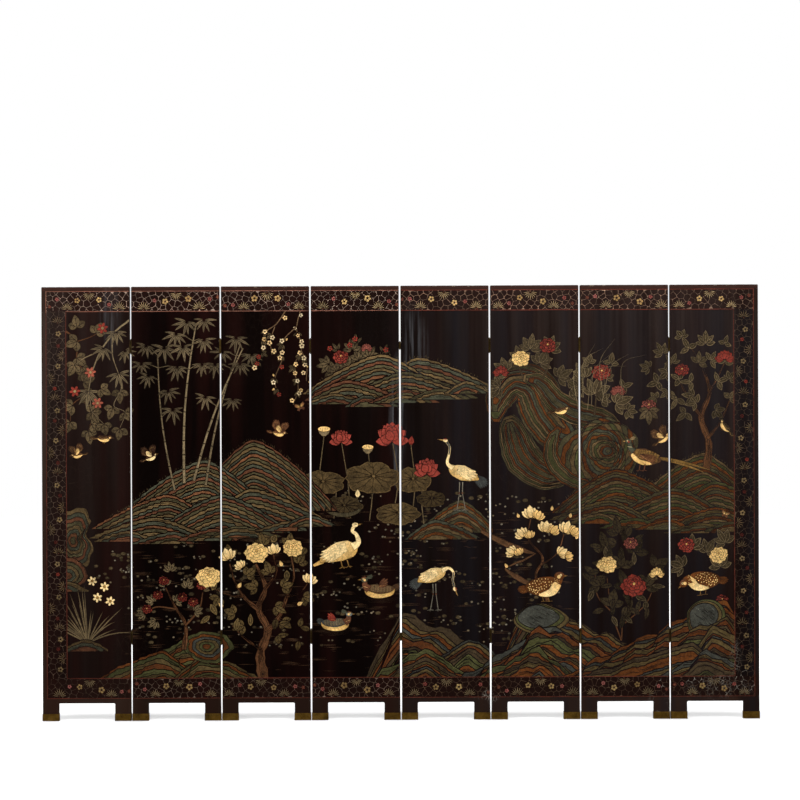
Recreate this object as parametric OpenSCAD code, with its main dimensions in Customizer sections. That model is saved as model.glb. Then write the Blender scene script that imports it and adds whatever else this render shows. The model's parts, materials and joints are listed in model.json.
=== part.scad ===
// Eight-leaf lacquered folding screen, opened out in one straight line.
// Frame: +X along the screen, to the right seen from the decorated side; the decorated side faces -Y;
// +Z up. Origin on the floor, under the middle of the screen and the middle of the leaves' thickness.
// Leaves are numbered 1 to 8 from -X to +X. Joint k stands between leaf k and leaf k + 1.

/* [Leaves] */
// Width of one leaf over the lacquer
leaf_w = 372; // [320:1:450]
// Height of a leaf, floor to top edge
leaf_h = 1830; // [1700:5:2200]
// Thickness of a leaf over the lacquer
leaf_t = 22; // [20:0.5:28]
// Gap between two leaves in one line
leaf_gap = 6.5; // [6:0.1:8]
// Thickness of the clay ground and lacquer coat
coat_t = 1.5; // [1:0.1:2]
// Radius of the two top corners of a leaf
top_r = 4; // [3:0.5:6]

/* [Feet] */
// Width of a leg over the lacquer
leg_w = 67; // [55:1:90]
// Height of the cut-out between the legs
cut_h = 74; // [50:1:110]
// Radius in the top corners of the cut-out
cut_r = 5; // [3:0.5:12]
// Height of the brass shoe
shoe_h = 30; // [22:1:42]
// Thickness of the shoe's sheet
shoe_t = 1.2; // [0.8:0.1:1.6]
// Radius of a shoe nail's shank
nail_r = 0.8; // [0.6:0.1:1]

/* [Core] */
// Height of the top and bottom cross rails
rail_h = 60; // [45:1:80]
// Number of upright planks between the stiles
plank_n = 3; // [2:1:4]
// Glue line left between two pieces of wood
glue = 0.2; // [0.1:0.05:0.4]
// Thickness of the rails' tenons
tenon_t = 7; // [5:0.5:9]
// Length of the rails' tenons
tenon_l = 28; // [15:1:35]

/* [Hinges] */
// Length of a hinge
hinge_l = 59; // [50:1:80]
// Length of the two hinges of the middle joint
short_l = 29; // [26:1:40]
// Height of the lower hinges' middle
hinge_low = 351; // [250:1:450]
// Height of the upper hinges' middle
hinge_high = 1578; // [1300:1:1640]
// Thickness of a hinge plate
plate_t = 2.2; // [1.8:0.1:2.4]
// Depth of a hinge plate on the leaf's edge
plate_d = 18; // [15:0.5:19]
// Outer radius of a knuckle
knuckle_r = 3.5; // [3:0.1:3.6]
// Distance from the leaf's face to the pin's axis
pin_off = 3.5; // [3.5:0.1:4]
// Radius of a hinge pin
pin_r = 1.7; // [1.4:0.05:1.8]
// Radial running clearance of the pin
play = 0.06; // [0.04:0.01:0.08]
// Radius of a screw's shank
screw_r = 1.5; // [1.2:0.1:1.6]
// Length of a screw
screw_l = 18; // [14:1:22]

/* [Hidden] */
$fn = 48;
pitch = leaf_w + leaf_gap;
half_l = (8 * leaf_w + 7 * leaf_gap) / 2;
axis_y = leaf_t / 2 + pin_off;
cut_w = leaf_w - 2 * leg_w;
core_t = leaf_t - 2 * coat_t;
stile_w = leg_w - 2 * coat_t;
mid_w = leaf_w - 2 * leg_w + 2 * coat_t;
rail_z0 = cut_h + coat_t;
rail_z1 = leaf_h - coat_t - rail_h;
plank_w = (mid_w - (plank_n + 1) * glue) / plank_n;
tenon_h = rail_h - 20;
head_r = screw_r + 1.2;
head_h = 1.4;
slit = 0.3;

// Left edge of leaf i, and the middle of the gap at joint k
function left_x(i) = -half_l + (i - 1) * pitch;
function joint_x(k) = left_x(k) + leaf_w + leaf_gap / 2;
// Odd joints have their knuckles behind the screen (+1), even joints in front of it (-1)
function side(k) = k % 2 == 1 ? 1 : -1;
function length_at(k) = k == 4 ? short_l : hinge_l;
function knuckles_at(k) = k == 4 ? 3 : 5;
// Heights of the screws of one hinge plate, from its middle
function screw_zs(k) = k == 4 ? [-8, 8] : [-21, 0, 21];
// The middle screw of three sits a little deeper than the others
function screw_y(k, n) = leaf_t / 2 - plate_d / 2 + (k != 4 && n == 1 ? -3 : 1.5);

// A flat shape drawn in X and Z, given the thickness t about y = 0
module upright(t) {
    rotate([90, 0, 0]) linear_extrude(height = t, center = true) children();
}

module leaf_outline() {
    difference() {
        union() {
            translate([0, shoe_t]) square([leaf_w, leaf_h - shoe_t - top_r]);
            translate([top_r, leaf_h - 2 * top_r]) square([leaf_w - 2 * top_r, 2 * top_r]);
            for (x = [top_r, leaf_w - top_r]) translate([x, leaf_h - top_r]) circle(r = top_r);
        }
        translate([leg_w, -1]) square([cut_w, cut_h - cut_r + 1]);
        translate([leg_w + cut_r, cut_h - 2 * cut_r]) square([cut_w - 2 * cut_r, 2 * cut_r]);
        for (x = [leg_w + cut_r, leaf_w - leg_w - cut_r]) translate([x, cut_h - cut_r]) circle(r = cut_r);
    }
}

module core_outline() {
    difference() {
        translate([coat_t, -1]) square([leaf_w - 2 * coat_t, leaf_h - coat_t + 1]);
        translate([coat_t + stile_w, -2]) square([mid_w, cut_h + coat_t + 2]);
    }
}

// A countersunk screw along +Z, its head's face at z = 0. grow widens it into its own hole
module screw_body(grow) {
    translate([0, 0, -grow]) cylinder(h = head_h + grow, r1 = head_r + grow, r2 = screw_r + grow);
    cylinder(h = screw_l - 3, r = screw_r + grow);
    translate([0, 0, screw_l - 3]) cylinder(h = 3 + grow, r1 = screw_r + grow, r2 = 0.3 + grow);
}

module screw() {
    difference() {
        screw_body(0);
        translate([0, 0, 0.25]) cube([2 * head_r + 1, 0.6, 0.7], center = true);
    }
}

module nail_body(grow) {
    translate([0, 0, -shoe_t]) cylinder(h = 12, r = nail_r + grow);
}

module nail() {
    nail_body(0);
    translate([0, 0, -shoe_t - 0.7]) cylinder(h = 0.7, r1 = 1.2, r2 = 1.9);
}

// Puts children at every hinge screw of leaf i, pointing into the leaf's edge
module at_screws(i) {
    for (k = [i - 1, i]) if (k > 0 && k < 8) {
        s = k == i ? -1 : 1;
        zs = screw_zs(k);
        for (zc = [hinge_low, hinge_high], n = [0 : len(zs) - 1])
            translate([joint_x(k) + s * (leaf_gap / 2 - plate_t), side(k) * screw_y(k, n), zc + zs[n]])
                rotate([0, 90 * s, 0]) children();
    }
}

// Puts children at every shoe nail of leaf i, on both faces, z = 0 on the lacquer and pointing into the leg
module at_nails(i) {
    for (x0 = [0, leaf_w - leg_w], x = [14, leg_w - 14], s = [-1, 1])
        translate([left_x(i) + x0 + x, s * leaf_t / 2, shoe_h - 9]) rotate([90 * s, 0, 0]) children();
}

// Both upright edge pieces of leaf i, which run down into its legs
module stiles(i) {
    difference() {
        translate([left_x(i), 0, 0])
            for (x = [coat_t, leaf_w - coat_t - stile_w])
                translate([x, -core_t / 2, shoe_t]) cube([stile_w, core_t, leaf_h - coat_t - shoe_t]);
        translate([left_x(i), 0, 0])
            for (z = [rail_z0 + 10, rail_z1 + 10], x = [coat_t + stile_w - tenon_l - 0.3, leaf_w - coat_t - stile_w - 1])
                translate([x, -tenon_t / 2 - 0.1, z - 0.1]) cube([tenon_l + 1.3, tenon_t + 0.2, tenon_h + 0.2]);
        at_screws(i) screw_body(0.03);
        at_nails(i) nail_body(0.03);
    }
}

// Cross rails with their tenons, and the planks between them
module core(i) {
    translate([left_x(i) + coat_t + stile_w, 0, 0]) {
        for (z = [rail_z0, rail_z1]) {
            translate([0, -core_t / 2, z]) cube([mid_w, core_t, rail_h]);
            translate([-tenon_l, -tenon_t / 2, z + 10]) cube([mid_w + 2 * tenon_l, tenon_t, tenon_h]);
        }
        for (n = [0 : plank_n - 1])
            translate([glue + n * (plank_w + glue), -core_t / 2, rail_z0 + rail_h + glue])
                cube([plank_w, core_t, rail_z1 - rail_z0 - rail_h - 2 * glue]);
    }
}

// The coat over leaf i, open only under its feet
module lacquer(i) {
    difference() {
        translate([left_x(i), 0, 0]) upright(leaf_t) leaf_outline();
        translate([left_x(i), 0, 0]) upright(core_t) core_outline();
        at_screws(i) screw_body(0.03);
        at_nails(i) nail_body(0.03);
    }
}

// A brass cup over each foot of leaf i
module shoes(i) {
    difference() {
        translate([left_x(i), 0, 0])
            for (x = [0, leaf_w - leg_w]) translate([x, 0, 0]) difference() {
                translate([-shoe_t, -leaf_t / 2 - shoe_t, 0]) cube([leg_w + 2 * shoe_t, leaf_t + 2 * shoe_t, shoe_h]);
                translate([0, -leaf_t / 2, shoe_t]) cube([leg_w, leaf_t, shoe_h]);
            }
        at_nails(i) nail_body(0.03);
    }
}

// Half a hinge: s = -1 is screwed to the leaf on the left and has the odd knuckles, s = 1 to the leaf on the right
module hinge_half(k, s) {
    l = length_at(k);
    m = knuckles_at(k);
    seg = l / m;
    difference() {
        union() {
            translate([s > 0 ? leaf_gap / 2 - plate_t : -leaf_gap / 2,
                       side(k) > 0 ? leaf_t / 2 - plate_d : -axis_y, -l / 2])
                cube([plate_t, plate_d + pin_off, l]);
            for (n = [0 : m - 1]) if (n % 2 == (s < 0 ? 0 : 1))
                translate([0, side(k) * axis_y, -l / 2 + n * seg + (n > 0 ? slit / 2 : 0)])
                    cylinder(h = seg - (n > 0 && n < m - 1 ? slit : slit / 2), r = knuckle_r);
        }
        for (n = [0 : m - 1]) if (n % 2 == (s < 0 ? 1 : 0))
            translate([0, side(k) * axis_y, -l / 2 + n * seg - (n == 0 ? 1 : 0)])
                cylinder(h = seg + (n == 0 ? 1 : 0) + (n == m - 1 ? 1 : 0), r = knuckle_r + 0.4);
        translate([0, side(k) * axis_y, -l / 2 - 1]) cylinder(h = l + 2, r = pin_r + play);
    }
}

// All the hinge plates screwed to leaf i
module hinge_leaves(i) {
    difference() {
        for (k = [i - 1, i]) if (k > 0 && k < 8)
            for (zc = [hinge_low, hinge_high]) translate([joint_x(k), 0, zc]) hinge_half(k, k == i ? -1 : 1);
        at_screws(i) screw_body(0.03);
    }
}

// Hinge screws and shoe nails of leaf i
module fixings(i) {
    at_screws(i) screw();
    at_nails(i) nail();
}

// The two loose pins of joint k, each with a small finial at both ends
module hinge_pins(k) {
    l = length_at(k);
    for (zc = [hinge_low, hinge_high]) translate([joint_x(k), side(k) * axis_y, zc]) {
        translate([0, 0, -l / 2 - 0.5]) cylinder(h = l + 1, r = pin_r);
        for (s = [-1, 1]) translate([0, 0, s * (l / 2 + 0.3)]) mirror([0, 0, s < 0 ? 1 : 0]) {
            cylinder(h = 0.9, r = 2.9);
            translate([0, 0, 2.1]) sphere(r = 2.1);
        }
    }
}

module panel_1_stiles() { color("#8a6a45") stiles(1); }
module panel_1_core() { color("#9a7a52") core(1); }
module panel_1_lacquer() { color("#231312") lacquer(1); }
module panel_1_shoes() { color("#7d672f") shoes(1); }
module panel_1_hinge_leaves() { color("#6d5a2c") hinge_leaves(1); }
module panel_1_fixings() { color("#8c7740") fixings(1); }
module panel_2_stiles() { color("#8a6a45") stiles(2); }
module panel_2_core() { color("#9a7a52") core(2); }
module panel_2_lacquer() { color("#231312") lacquer(2); }
module panel_2_shoes() { color("#7d672f") shoes(2); }
module panel_2_hinge_leaves() { color("#6d5a2c") hinge_leaves(2); }
module panel_2_fixings() { color("#8c7740") fixings(2); }
module panel_3_stiles() { color("#8a6a45") stiles(3); }
module panel_3_core() { color("#9a7a52") core(3); }
module panel_3_lacquer() { color("#231312") lacquer(3); }
module panel_3_shoes() { color("#7d672f") shoes(3); }
module panel_3_hinge_leaves() { color("#6d5a2c") hinge_leaves(3); }
module panel_3_fixings() { color("#8c7740") fixings(3); }
module panel_4_stiles() { color("#8a6a45") stiles(4); }
module panel_4_core() { color("#9a7a52") core(4); }
module panel_4_lacquer() { color("#231312") lacquer(4); }
module panel_4_shoes() { color("#7d672f") shoes(4); }
module panel_4_hinge_leaves() { color("#6d5a2c") hinge_leaves(4); }
module panel_4_fixings() { color("#8c7740") fixings(4); }
module panel_5_stiles() { color("#8a6a45") stiles(5); }
module panel_5_core() { color("#9a7a52") core(5); }
module panel_5_lacquer() { color("#231312") lacquer(5); }
module panel_5_shoes() { color("#7d672f") shoes(5); }
module panel_5_hinge_leaves() { color("#6d5a2c") hinge_leaves(5); }
module panel_5_fixings() { color("#8c7740") fixings(5); }
module panel_6_stiles() { color("#8a6a45") stiles(6); }
module panel_6_core() { color("#9a7a52") core(6); }
module panel_6_lacquer() { color("#231312") lacquer(6); }
module panel_6_shoes() { color("#7d672f") shoes(6); }
module panel_6_hinge_leaves() { color("#6d5a2c") hinge_leaves(6); }
module panel_6_fixings() { color("#8c7740") fixings(6); }
module panel_7_stiles() { color("#8a6a45") stiles(7); }
module panel_7_core() { color("#9a7a52") core(7); }
module panel_7_lacquer() { color("#231312") lacquer(7); }
module panel_7_shoes() { color("#7d672f") shoes(7); }
module panel_7_hinge_leaves() { color("#6d5a2c") hinge_leaves(7); }
module panel_7_fixings() { color("#8c7740") fixings(7); }
module panel_8_stiles() { color("#8a6a45") stiles(8); }
module panel_8_core() { color("#9a7a52") core(8); }
module panel_8_lacquer() { color("#231312") lacquer(8); }
module panel_8_shoes() { color("#7d672f") shoes(8); }
module panel_8_hinge_leaves() { color("#6d5a2c") hinge_leaves(8); }
module panel_8_fixings() { color("#8c7740") fixings(8); }
module hinge_pins_1_2() { color("#a08a4c") hinge_pins(1); }
module hinge_pins_2_3() { color("#a08a4c") hinge_pins(2); }
module hinge_pins_3_4() { color("#a08a4c") hinge_pins(3); }
module hinge_pins_4_5() { color("#a08a4c") hinge_pins(4); }
module hinge_pins_5_6() { color("#a08a4c") hinge_pins(5); }
module hinge_pins_6_7() { color("#a08a4c") hinge_pins(6); }
module hinge_pins_7_8() { color("#a08a4c") hinge_pins(7); }

panel_1_stiles();
panel_1_core();
panel_1_lacquer();
panel_1_shoes();
panel_1_hinge_leaves();
panel_1_fixings();
panel_2_stiles();
panel_2_core();
panel_2_lacquer();
panel_2_shoes();
panel_2_hinge_leaves();
panel_2_fixings();
panel_3_stiles();
panel_3_core();
panel_3_lacquer();
panel_3_shoes();
panel_3_hinge_leaves();
panel_3_fixings();
panel_4_stiles();
panel_4_core();
panel_4_lacquer();
panel_4_shoes();
panel_4_hinge_leaves();
panel_4_fixings();
panel_5_stiles();
panel_5_core();
panel_5_lacquer();
panel_5_shoes();
panel_5_hinge_leaves();
panel_5_fixings();
panel_6_stiles();
panel_6_core();
panel_6_lacquer();
panel_6_shoes();
panel_6_hinge_leaves();
panel_6_fixings();
panel_7_stiles();
panel_7_core();
panel_7_lacquer();
panel_7_shoes();
panel_7_hinge_leaves();
panel_7_fixings();
panel_8_stiles();
panel_8_core();
panel_8_lacquer();
panel_8_shoes();
panel_8_hinge_leaves();
panel_8_fixings();
hinge_pins_1_2();
hinge_pins_2_3();
hinge_pins_3_4();
hinge_pins_4_5();
hinge_pins_5_6();
hinge_pins_6_7();
hinge_pins_7_8();
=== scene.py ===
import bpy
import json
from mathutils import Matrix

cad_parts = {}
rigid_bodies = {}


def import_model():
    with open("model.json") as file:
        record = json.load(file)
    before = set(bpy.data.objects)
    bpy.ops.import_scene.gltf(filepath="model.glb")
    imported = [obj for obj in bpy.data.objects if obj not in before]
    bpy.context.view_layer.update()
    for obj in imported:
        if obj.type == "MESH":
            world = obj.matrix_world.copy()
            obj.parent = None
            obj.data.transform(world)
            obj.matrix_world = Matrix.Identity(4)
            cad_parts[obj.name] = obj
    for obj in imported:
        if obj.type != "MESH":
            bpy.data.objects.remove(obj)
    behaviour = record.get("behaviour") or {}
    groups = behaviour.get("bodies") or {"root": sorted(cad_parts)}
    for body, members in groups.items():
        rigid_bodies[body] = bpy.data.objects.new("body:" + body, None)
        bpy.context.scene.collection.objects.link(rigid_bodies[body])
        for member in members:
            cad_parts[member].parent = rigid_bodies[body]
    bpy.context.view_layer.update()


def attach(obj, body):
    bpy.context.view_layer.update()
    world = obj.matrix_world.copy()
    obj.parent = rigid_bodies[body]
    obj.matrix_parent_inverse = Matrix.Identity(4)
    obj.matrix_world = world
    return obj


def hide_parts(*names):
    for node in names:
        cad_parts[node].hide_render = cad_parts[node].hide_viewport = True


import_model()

import json
import math

import bpy
import numpy as np
from mathutils import Vector
from mathutils.geometry import delaunay_2d_cdt

# ---------------------------------------------------------------------------------------------------------------------
# The screen's own dimensions, in millimetres (they repeat the CAD's)
# ---------------------------------------------------------------------------------------------------------------------
LEAVES = 8
LEAF_W, LEAF_H, LEAF_T, GAP = 372.0, 1830.0, 22.0, 6.5
PITCH = LEAF_W + GAP
HALF = (LEAVES * LEAF_W + (LEAVES - 1) * GAP) / 2  # 1510.75
LEG_W, CUT_H, CUT_R, TOP_R = 67.0, 74.0, 5.0, 4.0
FRONT = -LEAF_T / 2
# border: two thin red lines run round the field, with a patterned band between them
TOP_OUT, TOP_IN = 1811.0, 1726.0
BOT_OUT, BOT_IN = 95.0, 179.0
SIDE_OUT, SIDE_IN = 19.5, 103.0
LINE_W = 2.8


def left_x(n):
    """Left edge of leaf n (1 to 8), from the screen's left edge."""
    return (n - 1) * PITCH


# ---------------------------------------------------------------------------------------------------------------------
# Drawing in the plane of the leaves, in millimetres: x from the screen's left edge, z from the floor.
# Every shape is a polygon. Later polygons cover earlier ones. Kind 0 is lacquer left standing, kind 1 is colour in
# a cut-out cell, kind 2 is gilt in a shallow cell.
# ---------------------------------------------------------------------------------------------------------------------
def lin(h):
    c = [int(h[i : i + 2], 16) / 255 for i in (1, 3, 5)]
    return np.array([x / 12.92 if x <= 0.04045 else ((x + 0.055) / 1.055) ** 2.4 for x in c])


PAL = {
    k: lin(v)
    for k, v in dict(
        ink="#120a09",
        leaf="#655439",
        leaf_d="#453725",
        leaf_l="#7f6c4c",
        vein="#8f7b57",
        khaki="#827052",
        moss="#524a31",
        olive="#6b5636",
        teal="#4b4b3a",
        teal_l="#66705f",
        slate="#454744",
        slate_l="#6f756e",
        slate_d="#353b39",
        brick="#673f29",
        rust="#70472c",
        red="#8a3326",
        red_d="#632720",
        coral="#a5553f",
        rose="#8c4a3c",
        cream="#f6c97e",
        ivory="#f9da9c",
        butter="#cb9f58",
        gold="#967d55",
        ochre="#9b743a",
        brown="#5d3f27",
        brown_d="#452c1c",
        bark="#5a3921",
        weed="#75664e",
        net="#a28d7e",
        net_d="#4a3929",
        line="#7a3a2c",
        grey="#7f7868",
        near_rust="#6e3d18",
        near_brick="#5e3316",
        near_green="#4c4b2a",
        near_olive="#5a4a2b",
        near_slate="#43433b",
    ).items()
}


def shade(c, k):
    return np.clip(np.asarray(c) * k, 0, 1)


def mix(a, b, t):
    return np.asarray(a) * (1 - t) + np.asarray(b) * t


def cr(P, k=4, closed=True):
    """A smooth curve through the points, k steps between each two."""
    P = np.asarray(P, float)
    n = len(P)
    if closed:
        a, b, c, d = np.roll(P, 1, 0), P, np.roll(P, -1, 0), np.roll(P, -2, 0)
    else:
        E = np.vstack([2 * P[0] - P[1], P, 2 * P[-1] - P[-2]])
        a, b, c, d = E[:-3], E[1:-2], E[2:-1], E[3:]
    t = np.arange(k)[None, :, None] / k
    a, b, c, d = (v[:, None, :] for v in (a, b, c, d))
    q = 0.5 * (2 * b + (c - a) * t + (2 * a - 5 * b + 4 * c - d) * t**2 + (3 * b - a - 3 * c + d) * t**3)
    q = q.reshape(-1, 2)
    return q if closed else np.vstack([q, P[-1:]])


def area(P):
    x, y = P[:, 0], P[:, 1]
    return 0.5 * float(np.sum(x * np.roll(y, -1) - np.roll(x, -1) * y))


def ccw(P):
    return P if area(P) > 0 else P[::-1]


def offset(P, d):
    """The polygon, anticlockwise, moved outward by d."""
    e = np.roll(P, -1, 0) - P
    e /= np.maximum(np.linalg.norm(e, axis=1, keepdims=True), 1e-9)
    n = np.stack([e[:, 1], -e[:, 0]], 1)
    m = n + np.roll(n, 1, 0)
    m /= np.maximum(np.linalg.norm(m, axis=1, keepdims=True), 1e-6)
    cos = np.clip((m * n).sum(1, keepdims=True), 0.45, 1)
    return P + m * d / cos


def ribbon(path, w):
    """A band of the given widths along an open path."""
    path = np.asarray(path, float)
    w = np.broadcast_to(np.asarray(w, float), (len(path),)) if np.ndim(w) == 0 else np.interp(
        np.linspace(0, 1, len(path)), np.linspace(0, 1, len(w)), w
    )
    t = np.gradient(path, axis=0)
    t /= np.maximum(np.linalg.norm(t, axis=1, keepdims=True), 1e-9)
    n = np.stack([-t[:, 1], t[:, 0]], 1) * w[:, None] / 2
    return np.vstack([path + n, (path - n)[::-1]])


BOLD = 1.35  # all drawn lines are this much heavier than written


class Art:
    def __init__(self):
        self.items = []

    def add(self, P, c, kind, c2=None, g=None):
        P = np.asarray(P, float)
        if len(P) < 3 or abs(area(P)) < 0.15:
            return
        self.items.append((ccw(P), np.asarray(c, float), kind, np.asarray(c if c2 is None else c2, float), g))

    def at(self, x, z, s=1.0, rot=0.0, flip=False):
        return Pen(self, x, z, s, rot, flip)


class Pen:
    """Draws in its own frame: millimetres times s, turned by rot degrees, mirrored left to right by flip."""

    bold = BOLD

    def __init__(self, art, x, z, s, rot, flip):
        self.art, self.o, self.s = art, np.array([x, z], float), s
        r = math.radians(rot)
        m = np.array([[math.cos(r), math.sin(r)], [-math.sin(r), math.cos(r)]])
        self.m = (np.diag([-1.0, 1.0]) if flip else np.eye(2)) @ m * s

    def w(self, P):
        return self.o + np.atleast_2d(np.asarray(P, float)) @ self.m

    def poly(self, P, c, kind=1, c2=None, g=None):
        if g is not None:
            q = self.w([g[0], g[1]])[0]
            g = (q[0], q[1], g[2] * self.s)
        self.art.add(self.w(P), c, kind, c2, g)

    def shape(self, P, c, ink=1.1, c2=None, g=None, kind=1):
        """A cell with a line of lacquer left round it."""
        W = ccw(self.w(P))
        if ink:
            self.art.add(offset(W, ink * self.bold), PAL["ink"], 0)
        if g is not None:
            q = self.w([g[0], g[1]])[0]
            g = (q[0], q[1], g[2] * self.s)
        self.art.add(W, c, kind, c2, g)

    def line(self, path, w, c=None, kind=None, smooth=0):
        """A line of lacquer (no colour given), or of colour, w wide in real millimetres."""
        path = np.asarray(path, float)
        if smooth:
            path = cr(path, smooth, False)
        W = self.w(path)
        self.art.add(ribbon(W, np.asarray(w, float) * (self.bold if c is None else 1.0)), PAL["ink"] if c is None else c, (0 if c is None else 1) if kind is None else kind)

    def dot(self, x, y, r, c, ink=0, n=7, ry=None, kind=1, c2=None, rot=0.0):
        a = np.linspace(0, 2 * math.pi, n, endpoint=False) + rot
        P = np.stack([x + r * np.cos(a), y + (r if ry is None else ry) * np.sin(a)], 1)
        self.shape(P, c, ink, c2=c2, g=(x, y, r) if c2 is not None else None, kind=kind)


# ---- leaves and flowers ---------------------------------------------------------------------------------------------
def leaf(pen, x, y, length, width, ang, c, bend=0.0, veins=3, ink=1.5, n=5, rim=None):
    """A pointed leaf from its stalk at x, y."""
    a = math.radians(ang)
    u, v = np.array([math.cos(a), math.sin(a)]), np.array([-math.sin(a), math.cos(a)])
    t = np.linspace(0, 1, n + 2)
    half = width / 2 * np.sin(math.pi * t**0.85) ** 0.9
    mid = np.array([x, y]) + np.outer(t * length, u) + np.outer(bend * length * t**2, v)
    top, low = mid + half[:, None] * v, mid - half[:, None] * v
    P = np.vstack([top[:-1], [mid[-1]], low[-2:0:-1]])
    c2 = shade(c, 0.66)
    if rim is not None:
        pen.shape(P, rim, ink)
        W = ccw(pen.w(P))
        pen.art.add(offset(W, -2.0), c, 1, c2, (W[:, 0].mean(), W[:, 1].mean(), length * pen.s * 0.5))
    else:
        pen.shape(P, c, ink, c2=c2, g=(x, y, length))
    if veins >= 0:
        pen.line(mid[::2] if len(mid) > 5 else mid, [1.9, 1.5, 0.6], rim)
    for k in range(veins):
        q = (k + 0.7) / (veins + 0.6)
        i = q * (n + 1)
        b = np.array([np.interp(i, range(n + 2), mid[:, 0]), np.interp(i, range(n + 2), mid[:, 1])])
        h = width / 2 * math.sin(math.pi * q**0.85) * 0.78
        for s in (-1, 1):
            pen.line([b, b + u * length * 0.13 + v * s * h], [1.2, 0.6])


def spray(pen, x, y, n, length, width, ang, spread, c, rng, veins=3, rim=None):
    """A compound leaf: n pointed leaves from one stalk end, the middle one last and on top."""
    order = sorted(range(n), key=lambda k: -abs(k - (n - 1) / 2))
    for k in order:
        q = (k - (n - 1) / 2) / max((n - 1) / 2, 0.5)
        L = length * (1 - 0.25 * abs(q)) * rng.uniform(0.92, 1.08)
        leaf(pen, x, y, L, width * rng.uniform(0.9, 1.1), ang + q * spread, shade(c, rng.uniform(0.82, 1.2)),
             bend=0.12 * q * rng.uniform(0.5, 1.5), veins=veins, rim=rim)


def petal(r0, r1, a, half, lobes=3, depth=0.1, n=None, point=0.0):
    """A petal about the origin from radius r0 out to r1, half its angle in radians, with lobes cut in its outer edge."""
    n = n or 2 * lobes + 3
    t = np.linspace(-1, 1, n)
    env = np.sqrt(np.clip(1 - (0.98 * t) ** 2, 0, 1)) ** 0.6
    r = r0 + (r1 - r0) * (env * (1 - point * np.abs(t)) - depth * (0.5 - 0.5 * np.cos(lobes * math.pi * t)) * (np.abs(t) < 0.98))
    ang = a + half * t
    P = np.stack([r * np.cos(ang), r * np.sin(ang)], 1)
    base = np.array([[r0 * 0.4 * math.cos(a), r0 * 0.4 * math.sin(a)]])
    return np.vstack([P, base])


def peony(pen, x, y, r, c, rng, tilt=0.85, rot=0.0, dark=None, light=None, heart=None):
    """A full flower of four rings of ruffled petals."""
    dark = shade(c, 0.6) if dark is None else dark
    light = np.clip(np.asarray(c) * 1.18 + 0.01, 0, 1) if light is None else light
    sq = np.array([[1, 0], [0, tilt]])
    off = np.array([x, y])
    rings = [(1.0, 9, 0.50, 3), (0.76, 8, 0.50, 3), (0.54, 6, 0.62, 3), (0.33, 5, 0.72, 2)]
    for k, (f, m, half, lobes) in enumerate(rings):
        a0 = rng.uniform(0, 2 * math.pi)
        for j in range(m):
            a = a0 + 2 * math.pi * j / m + rng.uniform(-0.1, 0.1)
            P = petal(r * f * 0.25, r * f * rng.uniform(0.9, 1.06), a, half * rng.uniform(0.9, 1.1), lobes, 0.11)
            shift = np.array([0, 0.05 * r * k])
            tone = mix(c, light, rng.uniform(0, 0.8))
            pen.shape(P @ sq + off + shift, tone, 0.95 if c[1] > 0.3 else 1.5, c2=dark, g=(x, y, r * 1.9))
    pen.dot(x, y + 0.16 * r, r * 0.1, PAL["butter"] if heart is None else heart, 0.8, 7)


def peony_side(pen, x, y, r, c, rng, light=None):
    """The flower seen from the side: a cup of upright petals over a skirt of broad ones."""
    light = np.clip(np.asarray(c) * 1.2 + 0.01, 0, 1) if light is None else light
    for s in (-1, 1):
        for a, L, w in ((8, 1.0, 0.6), (-22, 0.85, 0.55)):
            t = petal(r * 0.1, r * L, math.radians(a if s > 0 else 180 - a), w * 0.8, 3, 0.12)
            pen.shape(t * [1, 0.8] + [x, y - 0.1 * r], mix(c, light, rng.uniform(0, 0.6)), 0.85, c2=shade(c, 0.6), g=(x, y, r))
    for k in range(7):
        a = 90 + (k - 3) * 24
        f = 1.0 - 0.03 * abs(k - 3)
        t = petal(r * 0.12, r * f * rng.uniform(0.92, 1.04), math.radians(a), 0.42, 3, 0.1)
        pen.shape(t + [x, y - 0.15 * r], mix(c, light, rng.uniform(0, 0.8)), 0.85, c2=shade(c, 0.6), g=(x, y, r))
    for k in (0, 2, 1):
        a = 90 + (k - 1) * 34
        t = petal(r * 0.1, r * 0.66, math.radians(a), 0.55, 3, 0.13)
        pen.shape(t + [x, y - 0.18 * r], mix(c, light, rng.uniform(0.2, 1)), 0.85, c2=shade(c, 0.65), g=(x, y, r))


def lotus(pen, x, y, r, c, rng, light=None):
    """A lotus seen from the side: pointed petals in three rows, the front ones in the middle last."""
    light = np.clip(np.asarray(c) * 1.3 + 0.01, 0, 1) if light is None else light
    rows = [(90, 62, 5, 1.02, 0.34), (90, 98, 6, 0.98, 0.30), (90, 44, 4, 0.84, 0.36), (90, 84, 2, 0.70, 0.42), (90, 26, 2, 0.62, 0.42)]
    for mid, span, m, f, w in rows:
        order = sorted(range(m), key=lambda k: -abs(k - (m - 1) / 2))
        for k in order:
            q = (k - (m - 1) / 2) / max((m - 1) / 2, 0.5)
            a = math.radians(mid + q * span + rng.uniform(-3, 3))
            L = r * f * rng.uniform(0.94, 1.05)
            u, v = np.array([math.cos(a), math.sin(a)]), np.array([-math.sin(a), math.cos(a)])
            t = np.array([0, 0.2, 0.45, 0.7, 0.88, 1.0])
            h = L * w * np.array([0.22, 0.75, 1.0, 0.8, 0.4, 0.0])
            m_ = np.outer(t * L, u) + np.outer(0.10 * q * L * t**2, -v) + [x, y - 0.3 * r]
            P = np.vstack([m_ + h[:, None] * v, (m_ - h[:, None] * v)[-2::-1]])
            pen.shape(P, mix(c, light, rng.uniform(0, 0.5)), 1.4, c2=light, g=(x, y - 0.3 * r, L * 1.4))
            for e in (-0.4, 0.0, 0.4):
                pen.line([m_[1] + e * h[1] * v, m_[3] + e * h[3] * v, m_[4] + 0.5 * e * h[4] * v], [0.5, 0.6, 0.3], shade(c, 0.55))


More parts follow.
